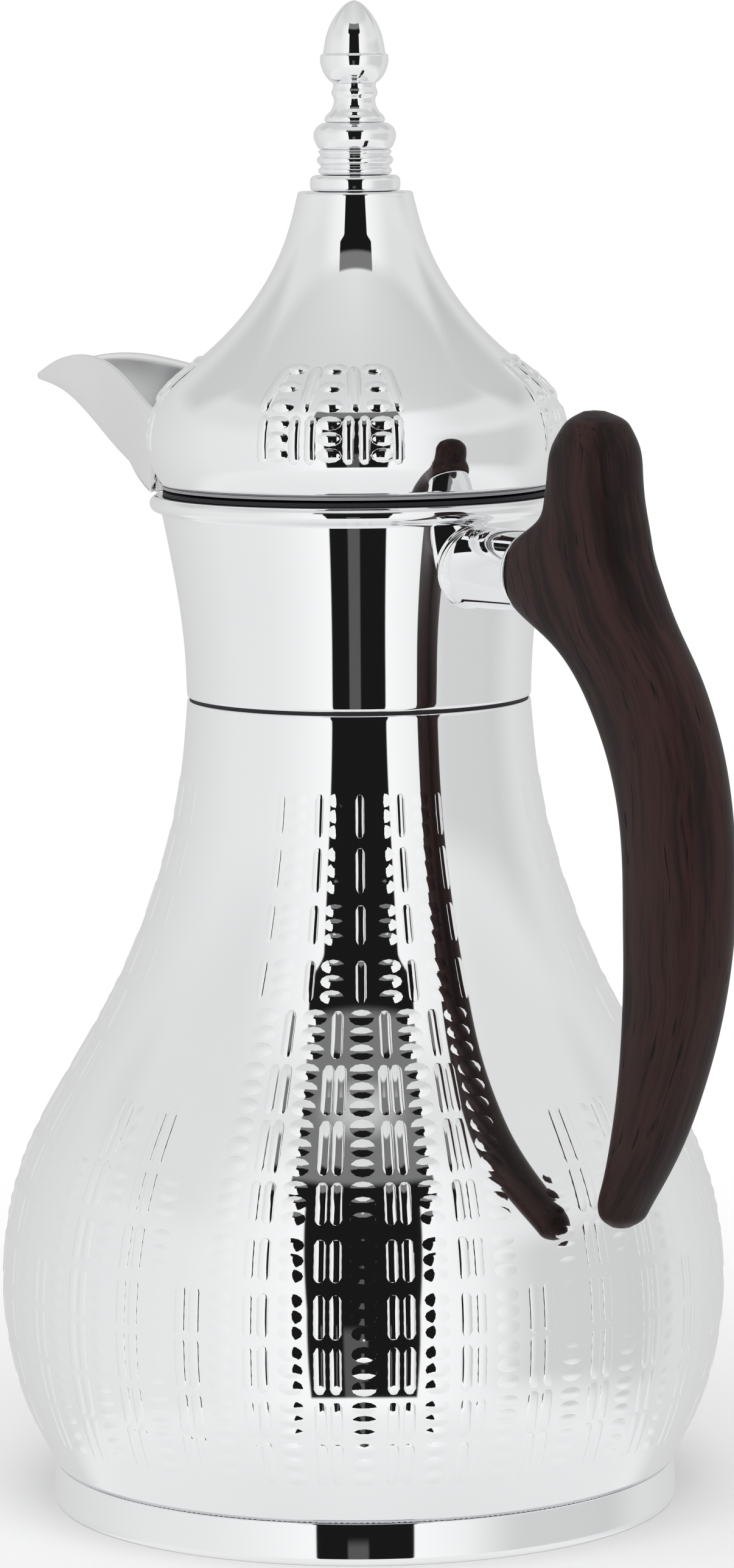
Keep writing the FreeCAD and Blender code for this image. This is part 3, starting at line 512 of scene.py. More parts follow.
@dataclass(frozen=True)
class WoodFinish(Finish):
    """Dark wood with long figure, read along the handle's own line.

    Attributes:
        light: Linear colour of the light bands.
        stops: Figure at which dark, middle, light and again middle colour stand.
        specular: Level of the shine.
    """

    light: Triple = (0.036, 0.0160, 0.0148)
    stops: Row = (0.33, 0.45, 0.56, 0.68)
    specular: float = 0.16

    def make(self) -> bpy.types.Material:
        """Builds the material: grain group into colour ramp, roughness and bump.

        Returns:
            The new material.
        """
        material, graph, shader = fresh_material(self.name)
        place = graph.add("Attribute", attribute_name="grain_place").outputs["Vector"]
        grain = graph.add("Group", {"Place": place}, node_tree=grain_group()).outputs
        tones = (self.second, self.colour, self.light, self.colour)
        tone = graph.ramp(grain["Figure"], list(zip(self.stops, tones)))
        rougher = graph.product(grain["Pores"], self.spread)
        graph.feed(shader, {
            "Base Color": graph.blend(grain["Pores"], tone, opaque(self.second)),
            "Roughness": graph.math("ADD", self.roughness, rougher),
            "Specular IOR Level": self.specular,
            "Normal": graph.bump(self.ripple, self.ripple_depth, grain["Height"]),
        })
        return material


CHROME = Finish(
    "polished_chrome", "chrome", (0.93, 0.935, 0.94), (0.90, 0.905, 0.915),
    metallic=1.0, roughness=0.028, spread=0.010, scale=25.0, ripple=0.0,
)
SATIN = Finish(
    "satin_chrome", "chrome", (0.875, 0.877, 0.88), (0.85, 0.852, 0.855),
    metallic=1.0, roughness=0.22, spread=0.02, ripple=0.0,
)
GREY_LIP = Finish(
    "grey_plastic", "grey_plastic", (0.36, 0.36, 0.37), (0.30, 0.30, 0.31),
    roughness=0.32, spread=0.05,
)
BLACK = Finish(
    "black_plastic", "black_plastic", (0.010, 0.010, 0.011), (0.017, 0.017, 0.018),
    roughness=0.30, scale=80.0, ripple=0.12,
)
RUBBER = Finish(
    "black_rubber", "black_rubber", (0.012, 0.012, 0.012), (0.022, 0.021, 0.021),
    roughness=0.62, spread=0.08, scale=90.0, ripple=0.2,
)
SILICONE = Finish(
    "silicone", "silicone", (0.72, 0.72, 0.69), (0.62, 0.62, 0.60),
    roughness=0.42, spread=0.08, scale=70.0, ripple=0.1,
)
FOAM = Finish(
    "foam", "foam", (0.80, 0.76, 0.62), (0.66, 0.62, 0.50),
    roughness=0.85, spread=0.08, scale=240.0, ripple=0.6,
)
FELT = Finish(
    "pad", "pad", (0.74, 0.71, 0.64), (0.60, 0.57, 0.50),
    roughness=0.9, spread=0.05, scale=300.0, ripple=0.5, sheen=0.4,
)
GLASS = Finish(
    "silvered_glass", "silvered_glass", (0.88, 0.89, 0.90), (0.82, 0.83, 0.85),
    metallic=1.0, roughness=0.06, spread=0.03, scale=40.0, ripple=0.02,
)
STEEL = Finish(
    "plain_steel", "steel", (0.56, 0.56, 0.57), (0.46, 0.46, 0.47),
    metallic=1.0, roughness=0.32, spread=0.10, scale=120.0, ripple=0.08,
)
BRASS = Finish(
    "turned_brass", "brass", (0.74, 0.55, 0.24), (0.62, 0.44, 0.18),
    metallic=1.0, roughness=0.30, spread=0.10, scale=120.0, ripple=0.08,
)
WOOD = WoodFinish(
    "dark_wood", "wood", (0.0150, 0.0070, 0.0068), (0.0060, 0.0038, 0.0038),
    roughness=0.44, spread=0.18, ripple=0.18, ripple_depth=0.0003,
)


def fit(piece: bpy.types.Object, finish: Finish, body: Body, *stands_for: str) -> None:
    """Dresses a new piece and joins it to its body.

    Args:
        piece: The piece.
        finish: Its finish.
        body: Body that it rides on.
        stands_for: CAD nodes that it replaces.
    """
    piece.data.materials.append(finish.material())
    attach(piece, body.value)
    if stands_for:
        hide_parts(*stands_for)
    log.info("%s: %d faces, %s", piece.name, len(piece.data.polygons), finish.name)


# ---------------------------------------------------------------- pressed relief


class Mark(Enum):
    """Kinds of pressed mark."""

    BEAD = "bead"
    DASH = "dash"


@dataclass(frozen=True)
class Template:
    """Mesh of one mark, on a square from -1 to 1.

    Attributes:
        across: Place of each point across the mark.
        along: Place of each point along it.
        lift: Height as a share of the mark's own, or below 0 in millimetres.
        quads: Four point numbers per face.
        triangles: Three point numbers per face.
    """

    across: Array
    along: Array
    lift: Array
    quads: Array
    triangles: Array


@dataclass
class Meridian:
    """Outer curve (r, z) of a turned shell, read by the length run along it.

    Attributes:
        curve: Points of the curve.
        run: Length run up to each point.
        normal: Outward normal at each point.
    """

    curve: Array

    def __post_init__(self) -> None:
        """Works out run and outward normal along the curve."""
        self.run = travelled(self.curve)
        way = np.gradient(self.curve, self.run, axis=0)
        way /= np.linalg.norm(way, axis=1)[:, None]
        self.normal = np.stack([way[:, 1], -way[:, 0]], axis=1)

    def at_height(self, z: Array) -> Array:
        """Run at a height, where heights rise along the curve."""
        return np.interp(z, self.curve[:, 1], self.run)

    def radius(self, run: Array) -> Array:
        """Radius at a run."""
        return np.interp(run, self.run, self.curve[:, 0])

    def point(self, run: Array, turn: Array, lift: Array) -> Array:
        """Place on the shell, lifted along its normal.

        Args:
            run: Length along the curve.
            turn: Angle about the axis, in radians.
            lift: Height over the shell.

        Returns:
            Points: (r + n_r lift) turned by the angle, z + n_z lift.
        """
        columns = (*self.curve.T, *self.normal.T)
        r, z, normal_r, normal_z = (np.interp(run, self.run, column) for column in columns)
        r = r + normal_r * lift
        return np.stack([r * np.cos(turn), r * np.sin(turn), z + normal_z * lift], axis=-1)


@dataclass
class Relief:
    """Pressed marks of one panel: low domes that follow the shell under them.

    A bead's height is (1 - p^q)^2 over an ellipse, q its fullness. A dash's is cos^2 across its
    width and level along its length, with both ends rounded off. Each mark closes inside the wall.

    Attributes:
        shell: Shell that carries the marks.
        fullness: Exponent q of the beads.
        sink: How far a mark is let into the shell.
        dip: Depth of a mark's rim below the shell.
        root: Depth at which a mark closes.
        spokes: Points on each ring of a bead.
        rings: Share of the half width at each ring of a bead; the last is its rim.
        ridge: Places of a dash's columns across it; the outer ones are its rim.
        length: Places of a dash's rows along it; the outer ones are its rim.
        level: Share of the half length over which a dash is level.
        taper: How much a dash narrows at its ends.
        marks: A row per mark: run, turn in degrees, half length, half width, height, lean.
    """

    shell: Meridian
    fullness: float = 2.0
    sink: float = 0.006
    dip: float = 0.06
    root: float = 0.45
    spokes: int = 12
    rings: Row = (0.36, 0.68, 0.9, 1.12)
    ridge: Row = (-1.12, -0.5, 0.0, 0.5, 1.12)
    length: Row = (-1.06, -0.92, -0.72, -0.25, 0.25, 0.72, 0.92, 1.06)
    level: float = 0.72
    taper: float = 0.75
    marks: dict[Mark, list] = field(default_factory=lambda: {kind: [] for kind in Mark})

    def press(self, kind: Mark, run: float, turn: float, size: Triple, lean: float = 0.0) -> None:
        """Adds a mark.

        Args:
            kind: Its kind.
            run: Run of its middle along the shell.
            turn: Angle of its middle about the axis, in degrees.
            size: Length, width and height.
            lean: Degrees that it leans per millimetre of run.
        """
        tall, wide, high = size
        self.marks[kind].append((run, turn, tall / 2, wide / 2, high, lean))

    def laid(self, kind: Mark, form: Template) -> Array:
        """Template points of every mark of a kind, laid on the shell.

        Args:
            kind: Kind of mark.
            form: Its template.

        Returns:
            Points, one row of template places per mark.
        """
        middle, turn, tall, wide, high, lean = np.array(self.marks[kind]).T[:, :, None]
        run = middle + form.along * tall
        angle = np.radians(turn + lean * (run - middle))
        angle = angle + form.across * wide / self.shell.radius(run)
        lift = np.where(form.lift < 0, form.lift, form.lift * high - self.sink)
        return self.shell.point(run, angle, lift)

    def bead(self) -> Template:
        """Disc of rings whose rim dips below the shell, closed at a point inside it.

        Returns:
            Template of a bead.
        """
        share, angle, spokes = np.array(self.rings[:-1]), around(self.spokes), self.spokes
        lift = np.append((1 - share**self.fullness) ** 2, -self.dip)
        across, along = (np.outer(self.rings, f(angle)).ravel() for f in (np.cos, np.sin))
        number = 1 + np.arange(across.size).reshape(-1, spokes)
        number = np.concatenate([number, number[:, :1]], axis=1)
        top = np.stack([np.zeros(spokes, int), number[0, :-1], number[0, 1:]], axis=-1)
        low = np.stack([np.full(spokes, across.size + 1), number[-1, 1:], number[-1, :-1]], axis=-1)
        return Template(
            np.concatenate([[0], across, [0]]),
            np.concatenate([[0], along, [0]]),
            np.concatenate([[1], np.repeat(lift, spokes), [-self.root]]),
            quads_of(number.T),
            np.concatenate([top, low]),
        )

    def dash(self) -> Template:
        """Ridge whose border dips below the shell, over a root inside it.

        Returns:
            Template of a dash.
        """
        x, y = np.array(self.ridge), np.array(self.length)
        end = np.clip((np.abs(y) - self.level) / (1 - self.level), 0, 1)
        top = np.outer(np.cos(end * np.pi / 2) ** 2, np.cos(np.clip(x, -1, 1) * np.pi / 2) ** 2)
        inner = np.zeros(top.shape, bool)
        inner[1:-1, 1:-1] = True
        across, along = np.meshgrid(x, y)
        across = across * np.sqrt(1 - self.taper * end[:, None] ** 2)
        above = np.arange(top.size).reshape(top.shape)
        below = above.copy()
        below[inner] = top.size + np.arange(inner.sum())
        lift = np.where(inner, top, -self.dip).ravel()
        across, along = (np.append(value.ravel(), value[inner]) for value in (across, along))
        return Template(
            across,
            along,
            np.append(lift, np.full(inner.sum(), -self.root)),
            np.concatenate([quads_of(above), quads_of(below)[:, ::-1]]),
            np.zeros((0, 3), int),
        )

    def build(self, name: str) -> bpy.types.Object:
        """One mesh of all the marks.

        Args:
            name: Name of the piece.

        Returns:
            The piece.
        """
        points, quads, triangles, start = [], [], [], 0
        for kind, form in ((Mark.BEAD, self.bead()), (Mark.DASH, self.dash())):
            place = self.laid(kind, form)
            first = start + np.arange(place[..., 0].size).reshape(place.shape[:2])[:, :1, None]
            points.append(place.reshape(-1, 3))
            quads.append((form.quads + first).reshape(-1, 4))
            triangles.append((form.triangles + first).reshape(-1, 3))
            start += len(points[-1])
        return mesh_object(name, *(np.concatenate(part) for part in (points, quads, triangles)))


# ---------------------------------------------------------------- sub-assemblies


@dataclass
class Foot:
    """Chromed foot ring with a soft lower edge and a lip inside the belly.

    Attributes:
        corners: Radius, height and rounding of the outline's corners.
        segments: Steps of the turn.
    """

    corners: tuple[Triple, ...] = (
        (62.5, 0.0, 0.4), (66.65, 0.0, 0.9), (67.0, 1.6, 1.2), (66.7, 8.97, 0.4), (65.2, 8.97, 0.3),
        (65.0, 12.4, 0.3), (62.5, 12.4, 0.3),
    )
    segments: int = 320

    def build(self) -> None:
        """Turns the ring."""
        ring = lathe("foot_ring", rounded(self.corners), self.segments)
        fit(ring, CHROME, Body.FLASK, "base_ring")


@dataclass(frozen=True)
class Press:
    """How the marks of a belly panel are pressed.

    Attributes:
        bead: Height of a bead.
        dash: Height of a dash.
        dash_long: Length of a dash, as a share of its tier.
        dash_wide: Largest width of a dash.
        dash_arc: Width of a dash in degrees, where that is less.
        faded: Share of the height that is left at the panel's sides.
        fade_from: Angle off the middle from which marks are faded, in degrees.
    """

    bead: float
    dash: float
    dash_long: float
    dash_wide: float
    dash_arc: float
    faded: float = 1.0
    fade_from: float = 17.5

    def share(self, turn: float) -> float:
        """Share of the full height at an angle off the panel's middle."""
        return 1.0 if abs(turn) < self.fade_from else self.faded


@dataclass
class Belly:
    """Chromed belly and shoulder with four tall and four short panels of pressed marks.

    Attributes:
        knots: Meridian of the bare shell, from the foot to the seam.
        wall: Thickness of the shell.
        lip: Fine round at the neck, as steps from the end of the meridian.
        facing: Angle of the first tall panel about the axis, in degrees.
        tiers: Lower and upper height of each row of marks, from the top down.
        ogive: Pointed arch over a short panel: angle off its middle, and height.
        neck_tiers: Number of tiers with the neck's columns; the next has the waist's.
        neck_columns: Angles of bead and dash columns at the neck, in degrees.
        waist_columns: The same at the waist.
        pitch: Angle between bead columns of the belly, in degrees.
        pair: Places of a pair of dashes between two bead columns, as shares of the pitch.
        bead_long: Length of a bead, as a share of its tier.
        bead_pitch: Distance between its beads, as a share of the tier.
        bead_wide: Largest width of a bead.
        bead_arc: Width of a bead in degrees, where that is less.
        tall, short: How the two kinds of panel are pressed.
        points, segments: Points of the meridian and steps of the turn.
        coarser: How many outer points each inner point stands for.
    """

    knots: tuple[Pair, ...] = (
        (66.45, 8.98), (71.97, 20.0), (76.06, 34.0), (77.38, 48.0), (76.06, 62.0), (72.0, 76.0),
        (64.84, 89.65), (52.80, 110.76), (43.63, 133.26), (38.71, 152.68), (36.55, 172.6),
    )
    wall: float = 1.0
    lip: tuple[Pair, ...] = ((0.0, -0.3), (-0.15, 0.0), (-0.5, -0.03))
    facing: float = -37.5
    tiers: tuple[Pair, ...] = (
        (147.5, 156.4), (136.4, 145.5), (126.1, 134.0), (114.7, 123.0), (104.0, 113.2),
        (93.3, 102.8), (82.0, 92.3), (72.5, 80.7), (61.2, 69.7), (49.6, 58.7), (38.1, 48.0),
        (28.3, 36.4), (18.1, 27.3),
    )
    ogive: tuple[Pair, ...] = (
        (0.0, 97.0), (5.0, 93.0), (11.0, 80.0), (14.5, 68.0), (20.0, 52.0), (23.0, 40.0),
    )
    neck_tiers: int = 4
    neck_columns: tuple[Row, Row] = (
        (-19.3, -7.0, 7.0, 19.3), (-25.0, -12.6, 0.0, 12.6, 25.0),
    )
    waist_columns: tuple[Row, Row] = (
        (-21.8, -10.6, 0.0, 10.6, 21.8), (-16.2, -5.3, 5.3, 16.2),
    )
    pitch: float = 11.25
    pair: Pair = (0.4, 0.62)
    bead_long: float = 0.37
    bead_pitch: float = 0.36
    bead_wide: float = 5.8
    bead_arc: float = 6.4
    tall: Press = Press(0.23, 0.18, 1.04, 2.9, 3.0, faded=0.4)
    short: Press = Press(0.15, 0.12, 1.18, 3.1, 3.2)
    points: int = 164
    segments: int = 384
    coarser: int = 3

    def __post_init__(self) -> None:
        """Lays out the meridian."""
        self.meridian = Meridian(flowing(self.knots, self.points))

    def shell(self) -> None:
        """Turns the shell: meridian outside, lip, and the meridian again one wall further in."""
        outer = self.meridian.curve
        inner = beside(outer, self.wall)[:: -self.coarser]
        outline = np.concatenate([outer[:-1], np.add(outer[-1], self.lip), inner])
        fit(lathe("belly_shell", outline, self.segments), CHROME, Body.FLASK, "body_shell")

    def columns(self, tier: int) -> tuple[Row, Row]:
        """Bead and dash columns of a tier, as angles off the panel's middle.

        Args:
            tier: Number of the tier from the top.

        Returns:
            Angles of the bead columns and of the dash columns, in degrees.
        """
        if tier < self.neck_tiers:
            return self.neck_columns
        if tier == self.neck_tiers:
            return self.waist_columns
        pairs = tuple(self.pitch * (k + share) for k in range(-2, 2) for share in self.pair)
        return tuple(self.pitch * k for k in range(-2, 3)), pairs

    def press_tier(
        self, relief: Relief, press: Press, tier: int, middle: float, columns: tuple[Row, Row]
    ) -> None:
        """Presses one tier: three beads per bead column and one dash per dash column.

        Args:
            relief: Relief that gets the marks.
            press: How they are pressed.
            tier: Number of the tier from the top.
            middle: Angle of the panel's middle, in degrees.
            columns: Angles of bead and dash columns off the middle.
        """
        start, end = self.meridian.at_height(np.array(self.tiers[tier]))
        centre, tall = (start + end) / 2, end - start
        arc = math.radians(float(self.meridian.radius(centre)))
        for turn in columns[0]:
            wide = min(self.bead_wide, self.bead_arc * arc)
            size = (tall * self.bead_long, wide, press.bead * press.share(turn))
            for step in (-1, 0, 1):
                run = centre + step * tall * self.bead_pitch
                relief.press(Mark.BEAD, run, middle + turn, size)
        for turn in columns[1]:
            wide = min(press.dash_wide, press.dash_arc * arc)
            size = (tall * press.dash_long, wide, press.dash * press.share(turn))
            relief.press(Mark.DASH, centre, middle + turn, size)

    def tall_panel(self, middle: float, name: str) -> None:
        """Marks of a tall panel: bead and dash columns in every tier.

        Args:
            middle: Angle of its middle about the axis, in degrees.
            name: Name of the piece.
        """
        relief = Relief(self.meridian)
        for tier in range(len(self.tiers)):
            self.press_tier(relief, self.tall, tier, middle, self.columns(tier))
        fit(relief.build(name), CHROME, Body.FLASK)

    def short_panel(self, middle: float, name: str) -> None:
        """Marks of a short panel: the belly's inner columns under a pointed arch.

        Args:
            middle: Angle of its middle about the axis, in degrees.
            name: Name of the piece.
        """
        relief = Relief(self.meridian)
        reach, top = np.array(self.ogive).T
        for tier in range(self.neck_tiers + 1, len(self.tiers)):
            height = sum(self.tiers[tier]) / 2
            beads, dashes = self.columns(tier)
            under = tuple(
                tuple(turn for turn in kind if height < np.interp(abs(turn), reach, top))
                for kind in (beads[1:-1], dashes)
            )
            self.press_tier(relief, self.short, tier, middle, under)
        fit(relief.build(name), CHROME, Body.FLASK)

    def build(self) -> None:
        """Builds shell and panels."""
        self.shell()
        for quarter in range(4):
            middle = self.facing + 90.0 * quarter
            self.tall_panel(middle, "belly_tall_panel_%d" % (quarter + 1))
            self.short_panel(middle + 45.0, "belly_short_panel_%d" % (quarter + 1))


@dataclass
class Collar:
    """Chromed flared neck with its rolled rim.

    Attributes:
        knots: Meridian of the flare, from the seam up.
        foot: Fine round at the seam, as steps from the start of the meridian.
        wall: Thickness.
        rim: Outer radius of the rim.
        top: Height of the rim.
        roll: Radius of the rolled edge.
        mouth: Radius of the mouth.
        mouth_depth: Depth of the mouth's wall.
        points, roll_points, segments: Points of flare and roll, and steps of the turn.
    """

    knots: tuple[Pair, ...] = (
        (36.6, 173.4), (37.0, 183.0), (38.1, 193.0), (39.75, 203.0), (41.6, 212.6),
    )
    foot: tuple[Pair, ...] = ((-0.45, 0.0), (-0.1, 0.05))
    wall: float = 1.0
    rim: float = 44.1
    top: float = 216.25
    roll: float = 1.72
    mouth: float = 39.4
    mouth_depth: float = 1.0
    points: int = 60
    roll_points: int = 20
    segments: int = 320

    def outer(self) -> Array:
        """Meridian of the flare."""
        return flowing(self.knots, self.points)

    def build(self) -> None:
        """Turns the collar: flare, rolled rim, mouth, and the flare again one wall further in."""
        outer = self.outer()
        angle = np.linspace(-np.pi / 2, np.pi / 2, self.roll_points)
        circle = self.roll * (np.stack([np.cos(angle), np.sin(angle)], axis=1) - 1)
        mouth = [(self.mouth, self.top), (self.mouth, self.top - self.mouth_depth)]
        outline = np.concatenate([
            np.add(outer[0], self.foot), outer[1:], circle + (self.rim, self.top), mouth,
            beside(outer, self.wall)[::-1],
        ])
        piece = lathe("collar_shell_polished", outline, self.segments)
        fit(piece, CHROME, Body.FLASK, "collar_shell")


@dataclass
class Spout:
    """Beak on the rim: a trough of half-elliptic sections.

    Attributes:
        stations: Reach, edge height, half width and keel height of each section.
        wall: Thickness.
        power: Fullness of the sections; 1 is an ellipse.
        waist: Reach at which the beak leaves its root.
        rim: Radius of the rim under the root.
        rim_top: Height of the rim.
        root_top: Height of the root's upper ends.
        stand_off: How far these ends stand outside the rim, clear of the lid.
        on_rim: Share of the half section whose root lies on the rim.
        opening: Half angle of the root on the rim, in degrees.
        closing: How far that angle closes on the way up.
        inner_closing: How much further it closes on the inner face.
        leave: Share of the way to the waist with which a line leaves the root, along each axis.
        lip_rise: Height of the rounded edge.
        columns, lip_columns, root_rows, beak_rows: Counts of the grid.
    """

    stations: tuple[tuple[float, float, float, float], ...] = (
        (28.0, 217.5, 35.2, 197.0), (36.0, 225.0, 29.5, 206.5), (44.0, 231.0, 23.6, 216.3),
        (60.0, 237.2, 14.1, 217.4), (75.0, 240.4, 10.1, 217.4), (90.0, 242.0, 7.0, 225.1),
        (105.0, 240.4, 4.2, 233.0), (117.2, 236.9, 1.1, 235.7),
    )
    wall: float = 1.3
    power: float = 0.81
    waist: float = 86.0
    rim: float = 44.1
    rim_top: float = 216.32
    root_top: float = 231.2
    stand_off: float = 1.85
    on_rim: float = 0.55
    opening: float = 48.0
    closing: float = 19.0
    inner_closing: float = 1.9
    leave: Triple = (1.0, 0.8, 1.0)
    lip_rise: float = 0.5
    columns: int = 72
    lip_columns: int = 5
    root_rows: int = 40
    beak_rows: int = 56

    def section(self, reach: Array, side: Array, inset: Array) -> Array:
        """Place on the trough.

        Args:
            reach: Distance out along -X.
            side: Angle round the section, from 0 at one edge through the keel to pi.
            inset: How far inside the outer face.

        Returns:
            Points: y = (half - inset) cos^p side, z = edge - (depth - inset) sin^p side.
        """
        least = 0.05  # half size that is left where the inner face would vanish
        table = np.array(self.stations)
        rows = spline(table[:, 0], table[:, 1:], reach.ravel())
        edge, half, keel = rows.T.reshape(3, *reach.shape)
        c, s = np.cos(side), np.sin(side)
        y = np.maximum(half - inset, least) * np.sign(c) * np.abs(c) ** self.power
        z = edge - np.maximum(edge - keel - inset, least) * np.abs(s) ** self.power
        return np.stack([-reach, y, z], axis=-1)

    def root(self, side: Array, inset: Array) -> Array:
        """Root of each line: along the rim under the keel, then up the lid's way to the edges.

        Args:
            side: Angle round the section.
            inset: How far inside the outer face.

        Returns:
            Points at radius r and at an angle off -X that opens on the rim and closes above it.
        """
        off = (side - np.pi / 2) / (np.pi / 2)
        climb = np.clip((np.abs(off) - self.on_rim) / (1 - self.on_rim), 0, 1)
        ease = climb * climb * (3 - 2 * climb)
        depth = inset / self.wall
        angle = self.opening * np.clip(np.abs(off) / self.on_rim, 0, 1) - self.closing * climb
        angle = np.radians(angle - self.inner_closing * depth * ease)
        r = self.rim + self.stand_off * ease - inset * (1 - ease)
        z = self.rim_top + (self.root_top - self.rim_top) * climb
        return np.stack([-r * np.cos(angle), -np.sign(off) * r * np.sin(angle), z], axis=-1)

    def lofted(self, side: Array, inset: Array) -> Array:
        """Lines from the root to the tip: a cubic blend up to the waist, then section by section.

        Args:
            side: Angle of each line round the section.
            inset: How far each line lies inside the outer face.

        Returns:
            Points, one row per step and one column per line.
        """
        step = 0.5  # for the slope at the waist
        at_waist = np.full(side.shape, self.waist)
        first, waist = self.root(side, inset), self.section(at_waist, side, inset)
        slope = (waist - self.section(at_waist - step, side, inset)) / step
        arrive = slope * (self.waist + first[:, :1])
        t = np.linspace(0, 1, self.root_rows, endpoint=False)[:, None, None]
        blend = (
            (2 * t**3 - 3 * t**2 + 1) * first
            + (t**3 - 2 * t**2 + t) * (waist - first) * self.leave
            + (3 * t**2 - 2 * t**3) * waist
            + (t**3 - t**2) * arrive
        )
        reach = np.linspace(self.waist, self.stations[-1][0], self.beak_rows)[:, None] + 0 * side
        return np.concatenate([blend, self.section(reach, side, inset)])

    def build(self) -> None:
        """Lofts outer face, lips and inner face as one loop that closes at each end."""
        side, lip = (np.linspace(0, np.pi, n) for n in (self.columns, self.lip_columns + 2))
        lip, none = lip[1:-1], np.zeros(self.columns)
        bulge = self.wall * (1 - np.cos(lip)) / 2
        angle = np.concatenate([side, 0 * lip + np.pi, side[::-1], 0 * lip])
        inset = np.concatenate([none, bulge, none + self.wall, bulge[::-1]])
        rise = np.concatenate([none, np.sin(lip), none, np.sin(lip)])
        grid = self.lofted(angle, inset)
        grid[..., 2] += self.lip_rise * rise
        # each end closes half-way between a point and the one across the wall
        across = (2 * self.columns - 1 - np.arange(len(angle))) % len(angle)
        ends = (grid[[0, -1]] + grid[[0, -1]][:, across]) / 2
        grid = np.concatenate([ends[:1], grid, ends[1:]])
        fit(sheet("spout_beak", grid[:, ::-1]), SATIN, Body.FLASK, "spout")


@dataclass
class Handle:
    """Stub tube on the collar, its dark ring, and the carved grip.

    Attributes:
        collar: Collar that carries the stub.
        axis: Height of the stub's axis.
        tube: Radius of the tube.
        bead: Height, half length and offset of the fine bead where the tube meets the collar.
        sunk: How far the tube's start is sunk into the collar's face.
        bore_sunk: How much further its bore starts.
        flank: Tube's outline beyond the bead: radius over the tube's, and x.
        ring: Outline of the dark ring: x and radius.
        face: Place where the grip's nose is cut level.
        cut_round: Softness of that cut.
        slices: Height, inner edge, outer edge and half thickness of level slices of the grip.
        ends: How far the grip's lower and upper end reach past the last slices.
        fullness: Exponent of the slices' superellipses.
        nose_fullness: What is added to it at the nose.
        nose_reach: Height over which that fades.
        heart: How far the grain's middle line lies inside the outer edge.
        nose: Lower and upper height of the nose's closer rows.
        points, bead_points, grip_points, grip_rows, nose_rows: Counts of the grids.
    """

    collar: Collar
    axis: float = 203.1
    tube: float = 8.5
    bead: Triple = (0.38, 0.75, 0.45)
    sunk: float = 0.25
    bore_sunk: float = 0.3
    flank: tuple[Pair, ...] = (
        (0.0, 42.6), (0.0, 43.0), (0.0, 48.0), (0.0, 54.0), (0.0, 58.5), (0.0, 58.8), (0.02, 58.9),
        (0.2, 59.0), (0.32, 59.2), (0.32, 59.55), (0.2, 59.75), (-0.1, 59.8), (-1.9, 59.8),
        (-2.0, 59.7), (-2.0, 44.0),
    )
    ring: tuple[Pair, ...] = (
        (59.81, 6.6), (60.29, 6.6), (60.29, 8.0), (60.2, 8.15), (59.9, 8.15), (59.81, 8.0),
    )
    face: float = 60.32
    cut_round: float = 0.35
    slices: tuple[tuple[float, float, float, float], ...] = (
        (71.0, 84.6, 88.4, 1.9), (72.0, 83.4, 90.2, 3.5), (74.3, 82.2, 92.3, 4.9),
        (79.3, 83.6, 95.8, 5.7), (89.0, 87.0, 102.2, 6.8), (101.0, 90.0, 108.0, 7.9),
        (113.0, 91.8, 112.4, 8.8), (124.6, 92.8, 115.2, 9.5), (136.0, 93.0, 116.7, 10.0),
        (147.4, 92.7, 117.0, 10.0), (157.4, 91.4, 116.1, 10.0), (168.4, 87.7, 113.9, 10.0),
        (177.0, 82.5, 111.0, 9.8), (185.7, 75.0, 106.5, 9.6), (191.0, 67.6, 102.6, 9.6),
        (194.4, 60.9, 100.1, 9.6), (197.6, 56.0, 97.9, 9.6), (203.1, 53.4, 94.6, 9.6),
        (208.4, 56.0, 92.1, 9.6), (211.6, 60.9, 91.2, 9.5), (214.3, 65.4, 90.6, 9.1),
        (218.7, 68.0, 89.4, 9.0), (224.4, 68.9, 88.8, 8.8), (230.0, 70.2, 88.0, 8.2),
        (233.6, 72.4, 86.3, 6.7), (235.8, 74.6, 83.9, 4.7), (237.0, 76.8, 80.6, 2.2),
    )
    ends: Pair = (-0.3, 0.2)
    fullness: float = 2.3
    nose_fullness: float = 0.6
    nose_reach: float = 11.0
    heart: float = 11.0
    nose: Pair = (192.0, 216.0)
    points: int = 96
    bead_points: int = 9
    grip_points: int = 112
    grip_rows: int = 200
    nose_rows: int = 60

    def stub(self) -> None:
        """Tube along X whose start follows the collar's face, with a fine bead at both ends.

        The start lies at x = sqrt((R - sunk)^2 - y^2), R being the collar's radius at that height.
        """
        turn, arc = around(self.points), np.linspace(0, np.pi, self.bead_points)
        flare, flank = self.collar.outer(), np.array(self.flank)
        high, half, offset = self.bead
        bead_x = (offset - half * np.cos(arc))[:, None]
        over = np.concatenate([high * np.sin(arc), flank[:, 0], flank[-1:, 0]])
        radius = self.tube + over[:, None]
        y, z = radius * np.cos(turn), self.axis + radius * np.sin(turn)
        seat = np.sqrt((np.interp(z, flare[:, 1], flare[:, 0]) - self.sunk) ** 2 - y**2)
        along = flank[:, 1:] + 0 * turn
        x = np.concatenate([bead_x + seat[: self.bead_points], along, seat[-1:] - self.bore_sunk])
        tube = sheet("stub_tube", np.stack([x, y, z], axis=-1)[:, ::-1], loop_u=True)
        fit(tube, CHROME, Body.FLASK, "handle_stub")

    def gasket(self) -> None:
        """Thin dark ring between tube and grip, its outline turned about the stub's axis."""
        turn, (x, r) = around(self.points), np.array(self.ring).T[:, :, None]
        grid = np.stack([x + 0 * turn, r * np.cos(turn), self.axis + r * np.sin(turn)], axis=-1)
        fit(sheet("stub_ring_dark", grid, loop_u=True), RUBBER, Body.FLASK, "stub_gasket")

